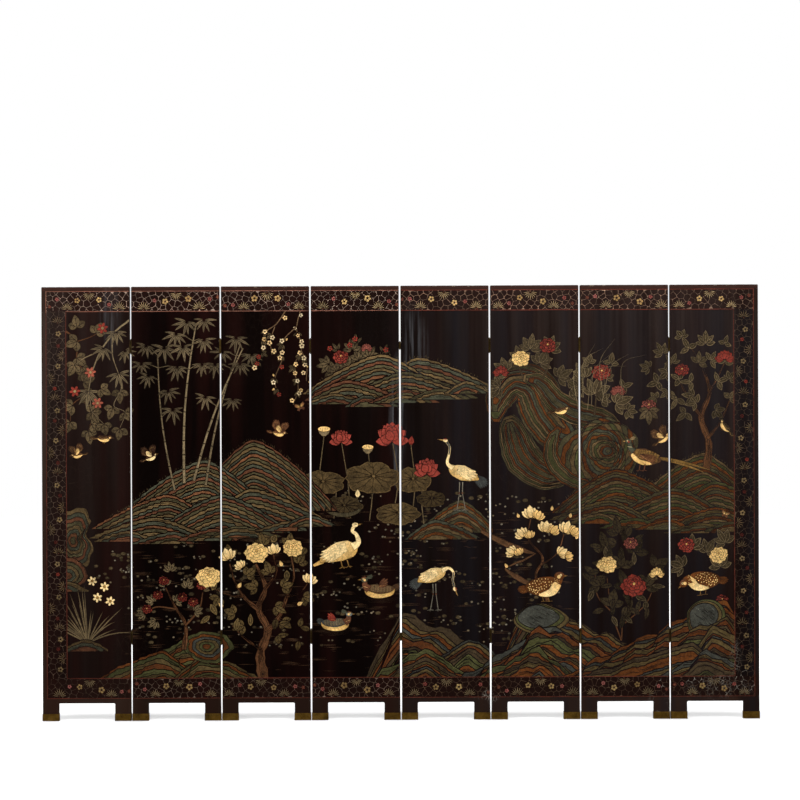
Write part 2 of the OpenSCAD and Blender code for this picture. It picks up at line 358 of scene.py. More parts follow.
def blossom(pen, x, y, r, c, ang=90, n=5, heart=None, ink=1.1, kind=1, c2=None):
    """A small flower of n round petals round a dark eye."""
    for k in range(n):
        a = math.radians(ang + 360 * k / n)
        cx, cy, rr = x + 0.6 * r * math.cos(a), y + 0.6 * r * math.sin(a), 0.40 * r
        b = np.linspace(0, 2 * math.pi, 7, endpoint=False) + a
        pen.shape(np.stack([cx + rr * np.cos(b), cy + rr * np.sin(b)], 1), c, ink, kind=kind, c2=c2, g=(x, y, r) if c2 is not None else None)
    pen.dot(x, y, r * 0.3, PAL["ink"], 0.4, 7, kind=0)
    if heart is not None:
        pen.dot(x, y, r * 0.17, heart, 0, 6)


def star_flower(pen, x, y, r, c, ang=90, n=6, heart=None):
    """A flower of n narrow petals round a ring."""
    for k in range(n):
        a = math.radians(ang + 360 * k / n)
        u, v = np.array([math.cos(a), math.sin(a)]), np.array([-math.sin(a), math.cos(a)])
        P = np.array([[0.15, -0.08], [0.45, -0.24], [0.82, -0.2], [1.0, 0], [0.82, 0.2], [0.45, 0.24], [0.15, 0.08]]) * r
        pen.shape(np.outer(P[:, 0], u) + np.outer(P[:, 1], v) + [x, y], c, 0.7)
    pen.dot(x, y, r * 0.26, PAL["ochre"] if heart is None else heart, 0.6, 7)


def magnolia(pen, x, y, r, c, rng, ang=90, open_=1.0):
    """A cup of five upright narrow petals."""
    for q in (-1, 1, -0.55, 0.55, 0):
        a = math.radians(ang + q * 52 * open_)
        L = r * (1 - 0.12 * abs(q)) * rng.uniform(0.94, 1.05)
        u, v = np.array([math.cos(a), math.sin(a)]), np.array([-math.sin(a), math.cos(a)])
        t = np.array([0, 0.25, 0.55, 0.82, 1.0])
        h = L * np.array([0.10, 0.22, 0.27, 0.18, 0.02])
        m = np.outer(t * L, u) + [x, y]
        P = np.vstack([m + h[:, None] * v, (m - h[:, None] * v)[::-1]])
        pen.shape(P, c, 1.2, c2=mix(c, PAL["butter"], 0.8), g=(x + u[0] * L, y + u[1] * L, L))
        pen.line([m[0], m[2], m[3]], [0.6, 0.3], shade(c, 0.62))


def bud(pen, x, y, r, c, ang=90):
    a = math.radians(ang)
    u, v = np.array([math.cos(a), math.sin(a)]), np.array([-math.sin(a), math.cos(a)])
    P = np.array([[0, 0.15], [0.4, 0.42], [0.8, 0.3], [1.25, 0], [0.8, -0.3], [0.4, -0.42], [0, -0.15]]) * r
    pen.shape(np.outer(P[:, 0], u) + np.outer(P[:, 1], v) + [x, y], c, 0.8, c2=shade(c, 0.7), g=(x, y, r * 1.3))
    pen.line([[x, y], np.array([x, y]) + u * r * 0.8], [0.6, 0.3])


def lotus_leaf(pen, x, y, rx, ry, c, rng, fold=0.0, rim=None):
    """A broad wavy leaf with ribs from its middle."""
    n = 36
    a = np.linspace(0, 2 * math.pi, n, endpoint=False)
    ph = rng.uniform(0, 6, 3)
    k = 1 + 0.05 * np.sin(5 * a + ph[0]) + 0.045 * np.sin(9 * a + ph[1]) + 0.03 * np.sin(14 * a + ph[2])
    P = np.stack([x + rx * k * np.cos(a), y + ry * k * np.sin(a)], 1)
    pen.shape(P, shade(c, 1.22) if rim is None else rim, 1.2)
    cx, cy = x + rx * 0.06, y + ry * 0.12
    Q = np.stack([cx + (P[:, 0] - cx) * 0.965, cy + (P[:, 1] - cy) * 0.95], 1)
    m = 12
    for i in range(m):
        i0, i1 = i * n // m, (i + 1) * n // m
        seg = Q[[j % n for j in range(i0, i1 + 1)]]
        pen.poly(np.vstack([[[cx, cy]], seg]), shade(c, rng.uniform(0.8, 1.08)), 1, shade(c, 0.62), (cx, cy, rx))
    for i in range(m):
        e = Q[(i * n // m) % n]
        p0, p1 = np.array([cx, cy]), e * 0.98 + np.array([cx, cy]) * 0.02
        mid = (p0 + p1) / 2 + rng.uniform(-1, 1, 2) * rx * 0.02
        pen.line([p0, mid, p1], [1.9, 1.3, 0.6])
        f = p0 + (p1 - p0) * 0.62
        for s in (-1, 1):
            e2 = Q[(i * n // m + s) % n]
            pen.line([f, e2 * 0.97 + p0 * 0.03], [1.1, 0.5])
    pen.dot(cx, cy, rx * 0.07, shade(c, 1.3), 0.9, 8, ry=ry * 0.1)
    if fold:
        b = np.linspace(math.pi * 1.1, math.pi * 1.9, 9)
        lo = np.stack([x + rx * 1.0 * np.cos(b), y + ry * 1.0 * np.sin(b)], 1)
        hi = np.stack([x + rx * 0.86 * np.cos(b), y + ry * (1.0 - fold) * np.sin(b) * 0.9], 1)
        pen.shape(np.vstack([lo, hi[::-1]]), mix(c, PAL["teal"], 0.35), 1.0)
        for j in range(1, 8):
            pen.line([hi[j], lo[j]], [0.8, 0.5])


def pod(pen, x, y, r):
    """A lotus seed head."""
    pen.shape([[x - r, y + 0.35 * r], [x - 0.75 * r, y - 0.35 * r], [x - 0.25 * r, y - 0.8 * r], [x + 0.25 * r, y - 0.8 * r], [x + 0.75 * r, y - 0.35 * r], [x + r, y + 0.35 * r]], PAL["leaf_l"], 0.9)
    pen.dot(x, y + 0.35 * r, r, PAL["cream"], 0.9, 12, ry=0.42 * r)
    for q, h in ((-0.6, 0.36), (-0.2, 0.5), (0.2, 0.5), (0.6, 0.36), (-0.3, 0.2), (0.3, 0.2)):
        pen.dot(x + q * r, y + h * r, r * 0.09, PAL["brown"], 0, 5)


# ---- stems, trunks, bamboo, grass -----------------------------------------------------------------------------------
def stem(pen, path, w, c, ink=0.9, k=5):
    P = cr(path, k, False)
    W = ribbon(P, w)
    pen.shape(W, c, ink)
    return P


def trunk(pen, path, w, rng, c=None, k=6, knots=2):
    """A gnarled trunk with lines of bark and a knot or two."""
    c = PAL["bark"] if c is None else c
    P = cr(path, k, False)
    n = len(P)
    ww = np.interp(np.linspace(0, 1, n), np.linspace(0, 1, len(w)), w) * (1 + 0.13 * np.sin(np.arange(n) * 1.9 + rng.uniform(0, 6)) + rng.uniform(-0.06, 0.06, n))
    pen.shape(ribbon(P, ww), c, 1.2)
    t = np.gradient(P, axis=0)
    t /= np.maximum(np.linalg.norm(t, axis=1, keepdims=True), 1e-9)
    nn = np.stack([-t[:, 1], t[:, 0]], 1)
    for j in range(int(n * 2.6)):
        i = rng.integers(0, max(n - 4, 1))
        e = rng.uniform(-0.38, 0.38)
        q = P[i : i + 4] + nn[i : i + 4] * (e + rng.uniform(-0.05, 0.05, len(P[i : i + 4])))[:, None] * ww[i : i + 4, None]
        if len(q) > 1:
            pen.line(q, [0.5, 1.5, 0.4], None if rng.random() < 0.62 else shade(c, 1.8))
    for _ in range(knots):
        i = rng.integers(1, max(n - 2, 2))
        r = ww[i] * 0.22
        pen.dot(P[i, 0], P[i, 1], r, shade(c, 0.6), 1.0, 9, ry=r * 1.5)
        pen.dot(P[i, 0], P[i, 1], r * 0.5, PAL["ink"], 0, 7, kind=0)
    return P


def bamboo(pen, x, y, h, w, lean, rng, c=None, clusters=(), joints=9):
    """A culm of joints, with fans of leaves at the given heights."""
    c = PAL["khaki"] if c is None else c
    top = np.array([x + lean, y + h])
    base = np.array([x, y])
    d = top - base
    bow = np.array([-d[1], d[0]]) * 0.03
    pts = [base + d * t + bow * math.sin(math.pi * t) for t in np.linspace(0, 1, joints + 1)]
    for i in range(joints):
        ww = w * (1 - 0.55 * i / joints)
        a, b = pts[i], pts[i + 1]
        e = (b - a) * 0.03
        P = ribbon([a + e, a + (b - a) * 0.15, a + (b - a) * 0.85, b - e], [ww * 1.12, ww * 0.9, ww * 0.9, ww * 1.12])
        pen.shape(P, shade(c, rng.uniform(0.8, 1.0)), 1.0)
        pen.line([a + (b - a) * 0.1 + [ww * 0.18, 0], a + (b - a) * 0.9 + [ww * 0.18, 0]], 0.7, shade(c, 1.35))
    return [np.array(p) for p in pts]


def bamboo_fan(pen, x, y, r, rng, ang=-90, n=7, spread=95, c=None):
    """Slender leaves that fan out and down from one twig end."""
    c = PAL["khaki"] if c is None else c
    order = sorted(range(n), key=lambda k: -abs(k - (n - 1) / 2))
    for k in order:
        q = (k - (n - 1) / 2) / max((n - 1) / 2, 0.5)
        L = r * rng.uniform(0.8, 1.1) * (1 - 0.18 * abs(q))
        leaf(pen, x, y, L, L * 0.17, ang + q * spread + rng.uniform(-6, 6), shade(c, rng.uniform(0.78, 1.12)), bend=-0.10 * q, veins=0, ink=0.8, n=4)


def grass(pen, x, y, r, rng, n=15, c=None, spread=75, w=3.6):
    """A clump of long arching blades."""
    c = PAL["leaf_l"] if c is None else c
    for k in range(n):
        q = rng.uniform(-1, 1)
        a = math.radians(90 - q * spread)
        L = r * rng.uniform(0.55, 1.0)
        drop = abs(q) * rng.uniform(0.12, 0.4) * L
        t = np.linspace(0, 1, 6)
        P = np.stack([x + q * 5 + L * t * math.cos(a), y + L * t * math.sin(a) - drop * t**2.2], 1)
        pen.shape(ribbon(P, [w * 0.6, w, w * 0.9, w * 0.6, 0.4]), shade(c, rng.uniform(0.65, 1.15)), 0.7)


def pine_fan(pen, x, y, r, n=9, ang=90, spread=72, c=None, w=1.5, kind=2):
    """A fan of needles, as in a border."""
    c = PAL["gold"] if c is None else c
    for k in range(n):
        q = (k - (n - 1) / 2) / ((n - 1) / 2)
        a = math.radians(ang + q * spread)
        L = r * (1 - 0.16 * abs(q))
        u = np.array([math.cos(a), math.sin(a)])
        o = np.array([x, y])
        pen.line([o + 0.2 * r * u, o + 0.65 * L * u, o + L * u], [w * 0.35, w, w * 0.4], c, kind)


# ---- rocks and banks ------------------------------------------------------------------------------------------------
BANDS = ["olive", "teal", "brick", "moss", "olive", "teal", "rust", "moss"]
COOL = ["slate", "teal", "moss", "slate", "olive", "brick", "teal"]
WARM = ["brick", "olive", "rust", "moss", "brick", "teal"]


def wobble(n, rng, amp, rough=3):
    x = np.linspace(0, 1, n)
    y = np.zeros(n)
    for k in range(rough):
        f = 1.7 ** (k + 1.3)
        y += np.sin(2 * math.pi * f * x + rng.uniform(0, 6.3)) / (1.35**k)
    return amp * y / rough


def steps(x, rng, amp, period):
    """A jagged wave: long slopes with short drops, as the strata are drawn."""
    ph = rng.uniform(0, period)
    u = ((x + ph + 0.18 * period * np.sin(x / period * 1.3 + ph)) / period) % 1.0
    return amp * (np.where(u < 0.68, u / 0.68, (1 - u) / 0.32) - 0.5)


def stair(rng, reach, period):
    """Corners of a jagged slope, by distance down from the crest: a long easy run, then a short drop, again and again."""
    d, o = [], []
    x = -260.0 + rng.uniform(0, period)
    while x < reach + 30:
        run, drop = period * rng.uniform(0.5, 0.95), period * rng.uniform(0.12, 0.26)
        d += [x, x + run]
        o += [-0.5 * rng.uniform(0.7, 1.2), 0.5 * rng.uniform(0.6, 1.3)]
        x += run + drop
    return np.array(d), np.array(o)


def mound(pen, cx, base, half, height, rng, pitch=16.0, skew=0.0, cols=BANDS, dark=1.0, peak=1.4, jag=5.0, fringe=None, start=0, vary=0.16, roll=0.0, ink=2.6, pale=0.35, fine=2):
    """A bank of strata: the same jagged slope again and again, each a step lower and in front of the last."""
    crest = cx + half * skew
    sides = {}
    for sg, reach in ((-1, half * (1 + skew)), (1, half * (1 - skew))):
        sides[sg] = (max(reach, 20.0), *stair(rng, max(reach, 20.0), rng.uniform(34, 46)))
    waves = [(rng.uniform(90, 190), rng.uniform(0, 6.3)) for _ in range(2)]

    def line(drop):
        out = []
        for sg in (-1, 1):
            reach, d0, o0 = sides[sg]
            d = d0 + 0.32 * drop + rng.uniform(-1.6, 1.6, len(d0))
            k = (d > 7) & (d < reach)
            d, o = d[k], o0[k] + rng.uniform(-0.15, 0.15, int(k.sum()))
            d, o = np.r_[d, reach], np.r_[o, 0.0]
            p = 1 - (d / reach) ** peak
            z = base + height * p - drop + jag * o * np.minimum(1, d / 40)
            out.append((crest + sg * d, z))
        x = np.r_[out[0][0][::-1], crest + rng.uniform(-4, 4), out[1][0]]
        z = np.r_[out[0][1][::-1], base + height * 0.995 - drop + rng.uniform(-1, 1), out[1][1]]
        if roll:
            z = z + sum(roll * np.sin(2 * math.pi * (x + 0.9 * drop) / L + f) for L, f in waves) * np.clip((z - base) / 30, 0, 1)
        return x, z

    if fringe is not None:
        xs, zs = line(0.0)
        for i in np.linspace(1, len(xs) - 2, int(half / 3.4)):
            xx, zz = np.interp(i, range(len(xs)), xs), np.interp(i, range(len(xs)), zs)
            if zz < base + 0.3 * height:
                continue
            a = math.radians(90 - 30 * np.clip((xx - crest) / half, -1, 1) + rng.uniform(-30, 30))
            L = rng.uniform(6, 17)
            pen.line([[xx, zz - 3], [xx + L * 0.6 * math.cos(a), zz + L * 0.6 * math.sin(a)], [xx + L * math.cos(a), zz + L * math.sin(a)]], [3.0, 2.0, 0.5], shade(fringe, rng.uniform(0.35, 0.8)))
    drop, k = 0.0, 0
    while drop < height - 6:
        x, z = line(drop)
        t = pitch * rng.uniform(1 - vary, 1 + vary) * (1.9 if vary > 0.3 and rng.random() < 0.16 else 1.0)
        up = np.flatnonzero(z > base + 0.5)
        if len(up) < 2:
            break
        i0, i1 = up[0], up[-1]
        X, Z = list(x[i0 : i1 + 1]), list(z[i0 : i1 + 1])
        for q, r, at in ((i0, i0 - 1, 0), (i1, i1 + 1, len(X))):
            if 0 <= r < len(x):
                f = (z[q] - base) / max(z[q] - z[r], 1e-6)
                X.insert(at, x[q] + (x[r] - x[q]) * f)
                Z.insert(at, base)
                if at == 0:
                    continue
        P = np.array([X, Z]).T
        P = np.vstack([P, [[P[-1, 0], base - 2]], [[P[0, 0], base - 2]]])
        c = shade(PAL[cols[(k + start) % len(cols)]], dark * rng.uniform(0.84, 1.12))
        pen.shape(P, c, ink, c2=shade(c, 0.74), g=(crest, base + height - drop, max(height, half) * 0.9))
        n = len(X)
        X, Z = np.array(X), np.array(Z)
        if n > 8:
            i = rng.integers(1, 4)
            while i < n - 4:
                j = min(n - 2, i + rng.integers(3, 8))
                if rng.random() < pale:
                    pen.line(np.stack([X[i:j], Z[i:j] - 1.7], 1), [0.5, 1.8, 0.5], shade(c, rng.uniform(1.5, 2.1)))
                i = j + rng.integers(1, 4)
            for _ in range(fine if t < 24 else fine * 3):
                i = rng.integers(1, n - 5)
                j = min(n - 1, i + rng.integers(2, 7))
                f = rng.uniform(0.3, 0.6)
                pen.line(np.stack([X[i:j], Z[i:j] - t * f], 1), [0.4, 1.5, 0.4])
        drop += t
        k += 1


def within(P, q):
    """Whether point q lies in polygon P."""
    a, b = P, np.roll(P, -1, 0)
    cross = (a[:, 1] > q[1]) != (b[:, 1] > q[1])
    with np.errstate(divide="ignore", invalid="ignore"):
        xi = a[:, 0] + (q[1] - a[:, 1]) / (b[:, 1] - a[:, 1]) * (b[:, 0] - a[:, 0])
    return bool((cross & (q[0] < xi)).sum() % 2)


def boulder(pen, P, rng, main, rim, ang=-35.0, shift=(-8, 10), dark=1.0, lines=60):
    """A smooth stone: two strata round its edge, and a broad flat of one colour hatched with fine lines."""
    P = np.asarray(P, float)
    P = cr(P.mean(0) + (P - P.mean(0)) * rng.uniform(0.9, 1.12, (len(P), 1)), 3)
    c0 = P.mean(0)
    for j, f in enumerate((1.0, 0.87)):
        Q = c0 + (P - c0) * f + np.array(shift) * j * 0.7
        c = shade(PAL[rim[j % len(rim)]], dark * rng.uniform(0.9, 1.1))
        pen.shape(Q, c, 2.4, c2=shade(c, 0.7), g=(c0[0], Q[:, 1].max(), float(np.ptp(P[:, 0]))))
    Q = c0 + (P - c0) * 0.74 + np.array(shift) * 1.4
    c = shade(PAL[main], dark)
    pen.shape(Q, c, 2.4, c2=shade(c, 0.62), g=(Q[:, 0].min(), Q[:, 1].max(), float(np.ptp(P[:, 0]))))
    lo, hi = Q.min(0), Q.max(0)
    a = math.radians(ang)
    u = np.array([math.cos(a), math.sin(a)])
    v = np.array([-u[1], u[0]])
    for _ in range(lines):
        m = rng.uniform(lo, hi)
        L = rng.uniform(14, 46)
        bend = rng.uniform(-0.12, 0.12) * L
        pts = np.array([m - u * L / 2, m + v * bend, m + u * L / 2])
        if all(within(Q, q) for q in pts):
            pen.line(pts, [0.4, rng.uniform(1.0, 1.8), 0.4], None if rng.random() < 0.6 else shade(c, rng.uniform(1.6, 2.6)))


def rock(pen, P, rng, bands=7, cols=BANDS, dark=1.0, centre=None, start=0, k=5, twist=0.0, jag=0.02, ink=1.9, hollow=0.9):
    """A garden rock: closed strata shrinking towards a moving centre, like the rings of an agate."""
    P = cr(P, k)
    c0 = P.mean(0)
    c1 = c0 if centre is None else np.asarray(centre, float)
    size = float(np.ptp(P, axis=0).max())
    n = len(P)
    t = np.linspace(0, 2 * math.pi, n, endpoint=False)
    ph = rng.uniform(0, 6, 2)
    for j in range(bands):
        f = 1 - (j / bands) ** hollow
        ctr = c0 * (1 - j / bands) + c1 * (j / bands)
        a = twist * j
        R = np.array([[math.cos(a), math.sin(a)], [-math.sin(a), math.cos(a)]])
        Q = ctr + ((P - c0) @ R) * f
        Q = ctr + (Q - ctr) * (1 + jag * (np.sin(7 * t + ph[0]) + 0.7 * np.sin(13 * t + ph[1])) * (1 + 0.5 * rng.uniform(-1, 1)))[:, None]
        c = shade(PAL[cols[(j + start) % len(cols)]], dark * rng.uniform(0.85, 1.15))
        pen.shape(Q, c, ink, c2=shade(c, 0.68), g=(Q[:, 0].mean() - size * 0.15, Q[:, 1].max(), size * 0.7 * f + 5))
        if f > 0.25:
            for _ in range(6):
                i = rng.integers(0, n)
                m = [(i + q) % n for q in range(5)]
                pen.line(Q[m] * 0.955 + ctr * 0.045, [0.4, 1.5, 0.4], None if rng.random() < 0.4 else shade(c, 2.0))


def ridge(pen, spine, w, rng, pitch=9.0, cols=BANDS, dark=1.0, start=0, jag=3.8, ink=1.9, drift=0.0, k=7):
    """Strata that run along a winding spine and close round its ends, as on a water-worn rock."""
    S = cr(spine, k, False)
    n = len(S)
    q = np.linspace(0, 1, n)
    W = np.interp(q, np.linspace(0, 1, len(w)), w) / 2
    T = np.gradient(S, axis=0)
    T /= np.maximum(np.linalg.norm(T, axis=1, keepdims=True), 1e-9)
    N = np.stack([-T[:, 1], T[:, 0]], 1)
    run = np.r_[0, np.cumsum(np.linalg.norm(np.diff(S, axis=0), axis=1))]
    bands = max(2, int(round(W.max() / pitch)))
    seed = rng.integers(0, 10**6)
    for j in range(bands):
        f = 1 - j / bands
        e = 0.42 * j / bands
        lo, hi = e * rng.uniform(0.25, 0.55), 1 - e * rng.uniform(0.25, 0.55)
        cap = np.sqrt(np.clip(1 - ((q - (lo + hi) / 2) / ((hi - lo) / 2)) ** 6, 0, 1))
        keep = (q > lo) & (q < hi)
        if keep.sum() < 5:
            break
        g = np.random.default_rng(seed)
        up = (W * f * cap + steps(run, g, jag, 55) * np.minimum(1, W * f / 12) + wobble(n, rng, jag * 0.4))[keep]
        dn = (W * f * cap + steps(run, g, jag, 47) * np.minimum(1, W * f / 12) + wobble(n, rng, jag * 0.4))[keep]
        up, dn = np.maximum(up, 0.6), np.maximum(dn, 0.6)
        C = (S + N * (drift * W * (1 - f))[:, None])[keep]
        A, B = C + N[keep] * up[:, None], C - N[keep] * dn[:, None]
        c = shade(PAL[cols[(j + start) % len(cols)]], dark * rng.uniform(0.85, 1.12))
        P = np.vstack([A, B[::-1]])
        pen.shape(P, c, ink, c2=shade(c, 0.7), g=(C[0, 0], C[0, 1], run[-1] * 0.8))
        for side in (A, B):
            for _ in range(5):
                i0 = rng.integers(0, max(1, len(side) - 8))
                m = side[i0 : i0 + rng.integers(4, 9)]
                mid = C[i0 : i0 + len(m)]
                pen.line(m * 0.955 + mid * 0.045, [0.4, 1.5, 0.4], None if rng.random() < 0.15 else shade(c, 1.9))


def spit(pen, x0, z0, x1, z1, w, rng, c=None):
    """A ribbed brown bank that runs across the water as a narrow, slanting strip."""
    c = PAL["brown"] if c is None else c
    n = max(5, int(np.hypot(x1 - x0, z1 - z0) / 16))
    t = np.linspace(0, 1, n)
    m = np.stack([x0 + (x1 - x0) * t, z0 + (z1 - z0) * t + wobble(n, rng, 3)], 1)
    ww = w * np.sin(math.pi * np.clip(t * 0.92 + 0.08, 0, 1)) ** 0.7 + 1.0
    P = np.vstack([m, (m - np.stack([np.zeros(n), ww], 1))[::-1]])
    pen.shape(P, c, 1.2)
    for i in range(1, n):
        for q in (0.0, 0.5):
            j = max(0, i - q)
            a = np.array([np.interp(j, range(n), m[:, 0]), np.interp(j, range(n), m[:, 1])])
            h = np.interp(j, range(n), ww)
            pen.line([a, a + [9, -h * 0.9]], [0.9, 0.5])
        pen.line([m[i - 1] - [0, ww[i - 1] * 0.3], m[i] - [0, ww[i] * 0.3]], 0.9, shade(c, 1.6))


# ---- water ----------------------------------------------------------------------------------------------------------
def ripples(art, x0, x1, z0, z1, n, rng, c=None, keep=lambda x, z: True):
    c = PAL["net_d"] if c is None else c
    pen = art.at(0, 0)
    for _ in range(n):
        x, z, L = rng.uniform(x0, x1), rng.uniform(z0, z1), rng.uniform(18, 85)
        if not keep(x, z):
            continue
        m = rng.integers(1, 4)
        for j in range(m):
            zz = z + j * rng.uniform(3.5, 6)
            s = rng.uniform(-10, 10)
            pen.line([[x + s, zz], [x + s + L * 0.5, zz + rng.uniform(-1.2, 1.2)], [x + s + L, zz]], [0.4, 1.5, 0.4], shade(c, rng.uniform(0.7, 1.7)))


def duckweed(art, x0, x1, z0, z1, n, rng, keep=lambda x, z: True):
    """Drifts of small pale discs with a few broader brown pads among them."""
    pen = art.at(0, 0)
    for _ in range(n):
        x, z = rng.uniform(x0, x1), rng.uniform(z0, z1)
        if not keep(x, z):
            continue
        for _ in range(rng.integers(2, 7)):
            xx, zz = x + rng.normal(0, 27), z + rng.normal(0, 9)
            if rng.random() < 0.62:
                r = rng.uniform(3.4, 5.4)
                c = shade(mix(PAL["weed"], PAL["grey"], rng.uniform(0, 0.9)), rng.uniform(0.5, 1.25))
                pen.dot(xx, zz, r, c, 0.8, 8, ry=r * 0.8)
            else:
                r = rng.uniform(7, 12.5)
                c = shade(PAL["leaf"], rng.uniform(0.35, 0.9))
                pen.dot(xx, zz, r, c, 0.9, 10, ry=r * 0.62, c2=shade(c, 0.6))
                a = rng.uniform(0, 6.28)
                pen.line([[xx, zz], [xx + r * math.cos(a), zz + 0.6 * r * math.sin(a)]], 1.2)


# ---- birds, all facing right, about 100 mm long at scale 1 ----------------------------------------------------------
def feathers(pen, spine, half, c, rows, per, rng, ink=0.55, tone=0.2, tip=None, stretch=1.5, kind=1):
    """Overlapping feathers over a body, from its first spine point (the tail) to its last (the head)."""
    S = cr(spine, 4, False)
    n = len(S)
    T = np.gradient(S, axis=0)
    T /= np.maximum(np.linalg.norm(T, axis=1, keepdims=True), 1e-9)
    L = float(np.linalg.norm(np.diff(S, axis=0), axis=1).sum()) / rows * stretch
    hh = np.interp(np.linspace(0, 1, n), np.linspace(0, 1, len(half)), half)
    for r in range(rows):
        i = (r + 0.35) / rows * (n - 1)
        p = np.array([np.interp(i, range(n), S[:, 0]), np.interp(i, range(n), S[:, 1])])
        t = np.array([np.interp(i, range(n), T[:, 0]), np.interp(i, range(n), T[:, 1])])
        v = np.array([-t[1], t[0]])
        h = np.interp(i, range(n), hh)
        m = per + r % 2
        for j in range(m):
            e = (j - (m - 1) / 2) / (m / 2)
            ctr = p + v * e * h * 0.95
            w = 2 * h / m * 0.62
            q = np.array([[0.45, -0.7], [0.0, -1.0], [-0.42, -0.8], [-0.68, 0.0], [-0.42, 0.8], [0.0, 1.0], [0.45, 0.7]])
            P = np.outer(q[:, 0] * L, t) + np.outer(q[:, 1] * w, v) + ctr
            cc = shade(c, rng.uniform(1 - tone, 1 + tone))
            pen.shape(P, cc, ink, c2=tip if tip is not None else None, g=(ctr[0], ctr[1], L * 0.8) if tip is not None else None, kind=kind)
            if rng.random() < 0.5:
                pen.line([ctr + t * L * 0.3, ctr - t * L * 0.35], 0.4, shade(c, 0.6))


def quills(pen, root, ang, n, length, width, spread, c, rng, fall=0.0, ink=0.6, rim=None):
    """Long flight or tail feathers that fan from one root, the lowest first."""
    for k in range(n):
        q = k / max(n - 1, 1)
        a = math.radians(ang + spread * (q - 0.5))
        L = length * (1 - 0.35 * abs(q - 0.35))
        u, v = np.array([math.cos(a), math.sin(a)]), np.array([-math.sin(a), math.cos(a)])
        t = np.linspace(0, 1, 6)
        w = width * np.array([0.25, 0.42, 0.5, 0.48, 0.34, 0.06])
        m = np.asarray(root, float) + np.outer(t * L, u) - np.outer(fall * L * t**2, [0, 1])
        P = np.vstack([m + w[:, None] * v, (m - w[:, None] * v)[::-1]])
        cc = shade(c, rng.uniform(0.82, 1.1))
        pen.shape(P, cc, ink)
        pen.line(m[:5], [0.6, 0.3], shade(cc, 0.5) if rim is None else rim)


def head(pen, x, y, r, c, ang, beak, beak_c, crown=None, eye=True, cheek=None):
    a = math.radians(ang)
    u, v = np.array([math.cos(a), math.sin(a)]), np.array([-math.sin(a), math.cos(a)])
    o = np.array([x, y])
    pen.shape([o + u * r * 0.5 + v * r * 0.28, o + u * (r + beak), o + u * r * 0.5 - v * r * 0.32], beak_c, 0.6)
    b = np.linspace(0, 2 * math.pi, 11, endpoint=False)
    P = o + np.outer(r * 1.08 * np.cos(b), u) + np.outer(r * 0.86 * np.sin(b), v)
    pen.shape(P, c, 0.8)
    if crown is not None:
        b = np.linspace(0.25, 2.7, 7)
        P = o + np.outer(r * 1.0 * np.cos(b), u) + np.outer(r * 0.84 * np.sin(b), v)
        pen.poly(P, crown)
    if cheek is not None:
        e = o - u * r * 0.1 - v * r * 0.2
        pen.dot(e[0], e[1], r * 0.4, cheek, 0.3, 7)
    if eye:
        e = o + u * r * 0.3 + v * r * 0.15
        pen.dot(e[0], e[1], r * 0.26, PAL["ivory"], 0.3, 6)
        pen.dot(e[0], e[1], r * 0.12, PAL["ink"], 0, 5, kind=0)


def body(pen, spine, half, c, ink=1.0, c2=None, g=None):
    S = cr(spine, 4, False)
    hh = np.interp(np.linspace(0, 1, len(S)), np.linspace(0, 1, len(half)), half)
    pen.shape(ribbon(S, 2 * hh), c, ink, c2=c2, g=g)


def crane(pen, rng, bow=0.0, look=1):
    """A standing crane, about 190 mm high at scale 1."""
    for x0, x1 in ((4, -3), (12, 19)):
        pen.shape(ribbon([[x0, -18], [x0 + 1, -46], [x1, -92]], [2.6, 1.7, 2.0]), PAL["grey"], 0.7)
        pen.dot((x0 + 1), -47, 2.2, PAL["brick"], 0.5, 7)
        for a in (200, 262, 330, 10):
            b = math.radians(a)
            pen.shape(ribbon([[x1, -91], [x1 + 10 * math.cos(b), -92 + 3.4 * math.sin(b)]], [1.8, 0.8]), PAL["grey"], 0.5)
    quills(pen, (-22, -4), 205, 7, 44, 9, 46, PAL["slate"], rng, fall=0.18, rim=PAL["slate_l"])
    sp = [[-38, -12], [-20, -2], [4, 6], [26, 14], [36, 24]]
    body(pen, sp, [2, 15, 20, 15, 6], PAL["ivory"], c2=PAL["butter"], g=(0, 26, 45))
    quills(pen, (18, 12), 197, 5, 56, 11, 34, PAL["ivory"], rng, fall=0.05, rim=PAL["butter"])
    feathers(pen, [[-16, 6], [0, 10], [16, 14]], [8, 11, 9], PAL["ivory"], 3, 3, rng, tone=0.04, ink=0.4)
    if bow:
        nk = [[30, 18], [48, 26], [62, 14], [60, -8], [64, -26]]
        hd, ha = (66, -33), -68
    elif look > 0:
        nk = [[30, 18], [44, 32], [40, 54], [38, 74], [46, 88]]
        hd, ha = (49, 92), 8
    else:
        nk = [[30, 18], [46, 30], [46, 52], [38, 70], [30, 84]]
        hd, ha = (26, 88), 172
    pen.shape(ribbon(cr(nk, 4, False), [13, 8, 5.6, 5.2, 6]), PAL["ivory"], 0.8)
    pen.shape(ribbon(cr(nk, 4, False)[8:], [3.0, 3.6, 4.4, 4.8]), PAL["slate"], 0)
    head(pen, hd[0], hd[1], 6, PAL["ivory"], ha, 17, PAL["butter"], crown=PAL["red"])


